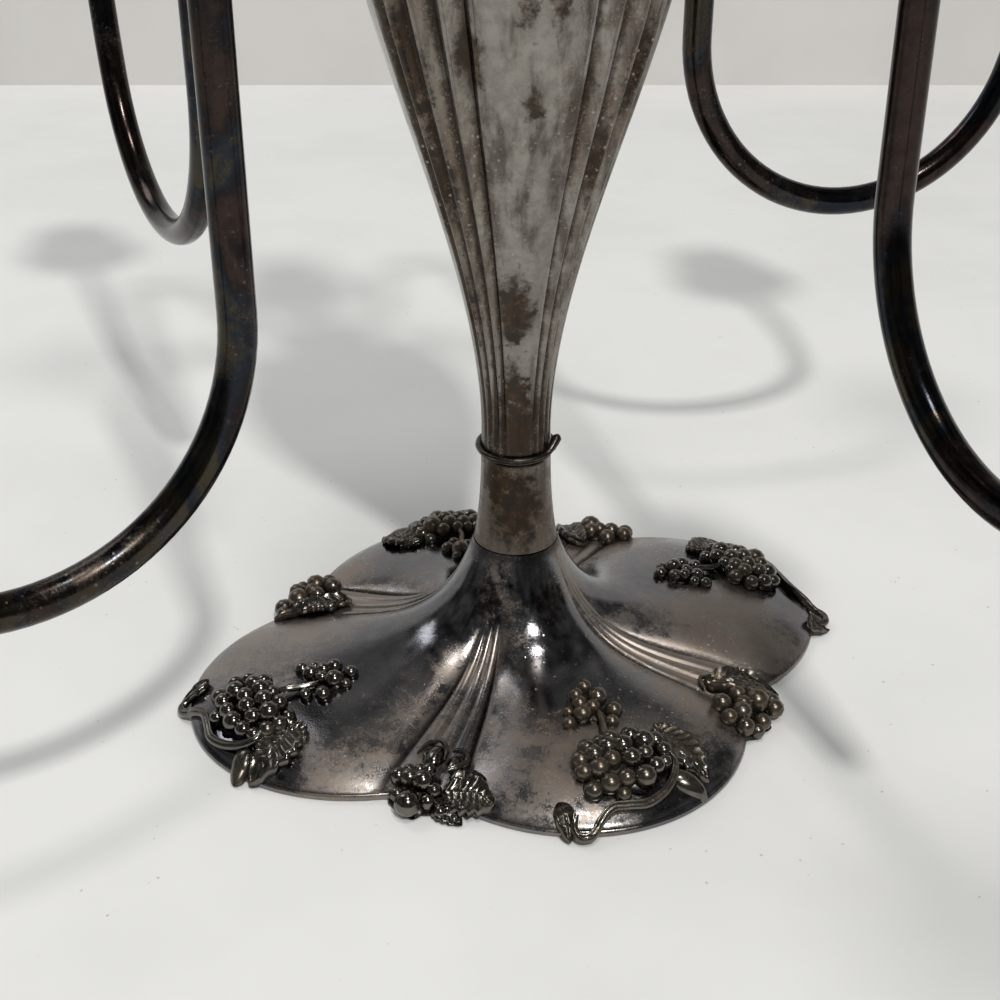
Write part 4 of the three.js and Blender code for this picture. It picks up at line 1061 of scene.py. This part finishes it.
def backdrop(name, colour, speck, corners):
    material, nodes, at = fresh(name)
    blotches = nodes.noise(at, 6, 4, 0.6).between(0.4, 0.65)
    dots = 1 - nodes.cells(at, 150).between(0.04, 0.09)
    specks = dots * nodes.noise(at, 25, 3, 0.6).between(0.5, 0.62)
    shaded = nodes.tint((*colour, 1), (*(part * 0.95 for part in colour), 1), blotches)
    nodes.painted(Base_Color=nodes.tint(shaded, (*speck, 1), specks * 0.6), Roughness=0.6)
    mesh = bpy.data.meshes.new(name)
    mesh.from_pydata(corners, [], [(0, 1, 2, 3)])
    mesh.materials.append(material)
    placed(name, mesh)


half_width, board_place, board_height = 3, 0.86, 0.09
near = [(-half_width, -half_width, 0), (half_width, -half_width, 0)]
seam = [(half_width, board_place, 0), (-half_width, board_place, 0)]
board_top = [(x, y, board_height) for x, y, _ in seam]
backdrop("table", (0.80, 0.80, 0.785), (0.3, 0.27, 0.24), near + seam)
backdrop("wall", (0.66, 0.645, 0.625), (0.55, 0.54, 0.52), seam[::-1] + board_top)

world = bpy.data.worlds.new("studio")
bpy.context.scene.world = world
air = cleared(world)
daylight = air.add("ShaderNodeBackground", {"Color": (0.97, 0.98, 0.97, 1), "Strength": 0.34})
far_wall = air.add("ShaderNodeBackground", {"Color": (0.57, 0.55, 0.53, 1), "Strength": 1})
seen = 0
for ray in ("Is Camera Ray", "Is Glossy Ray", "Is Transmission Ray"):
    light_path = air.add("ShaderNodeLightPath", out=ray)
    seen = light_path.maths("MAXIMUM", light_path, seen)
backed = air.add("ShaderNodeMixShader", {0: seen, 1: daylight, 2: far_wall})
air.add("ShaderNodeOutputWorld", {"Surface": backed})

# Dark screens overhead, at the sides, behind the camera and above the board, which only the metal's
# reflections see, as in a room lit by a few small lamps
side, room_back, room_height, back_screen_bottom = 2.6, 0.85, 2.6, 0.6
floor_plan = [(-side, -side), (side, -side), (side, room_back), (-side, room_back)]
room = [(x, y, z) for z in (0, room_height) for x, y in floor_plan]
room += [(x, y, back_screen_bottom) for x, y in floor_plan[2:]]
screens = bpy.data.meshes.new("screens")
screens.from_pydata(room, [], [(7, 6, 5, 4), (0, 3, 7, 4), (1, 0, 4, 5), (2, 1, 5, 6), (9, 8, 6, 7)])
dark, dark_nodes, dark_at = fresh("screens")
blotches = dark_nodes.noise(dark_at, 1.6, 2).between(0.35, 0.65)
paint = dark_nodes.tint((0.03, 0.03, 0.032, 1), (0.26, 0.25, 0.24, 1), blotches)
dark_nodes.painted(Base_Color=paint, Roughness=0.9)
screens.materials.append(dark)
hung = placed("screens", screens)
hung.visible_camera = hung.visible_diffuse = hung.visible_shadow = hung.visible_transmission = False

# Each lamp: the way to it, its distance, its size, its power and its colour
lamps = {
    "key": ((0.195, -0.596, 0.779), 4.2, 0.24, 94, (1, 0.985, 0.96)),
    "overhead": ((0.1, -0.21, 1), 2.4, 0.34, 12, (1, 0.98, 0.95)),
    "back": ((-0.6, 0.55, 0.8), 1.5, 0.6, 3.6, (0.95, 0.97, 1)),
}
lamp_target_height = 0.12
for name, (direction, distance, size, power, colour) in lamps.items():
    lamp = bpy.data.lights.new(name, "AREA")
    lamp.size = size
    lamp.energy = power
    lamp.color = colour
    holder = placed(name, lamp)
    towards = Vector(direction).normalized()
    holder.location = towards * distance + Vector((0, 0, lamp_target_height))
    holder.rotation_euler = (-towards).to_track_quat("-Z", "Y").to_euler()

camera = bpy.data.cameras.new("camera")
camera.lens = 54
camera.sensor_width = 36
camera_holder = placed("camera", camera)
camera_holder.location = (-0.005, -0.422, 0.283)
camera_holder.rotation_euler = (math.radians(62.091), 0, 0)
bpy.context.scene.camera = camera_holder
bpy.context.scene.view_settings.view_transform = "Standard"
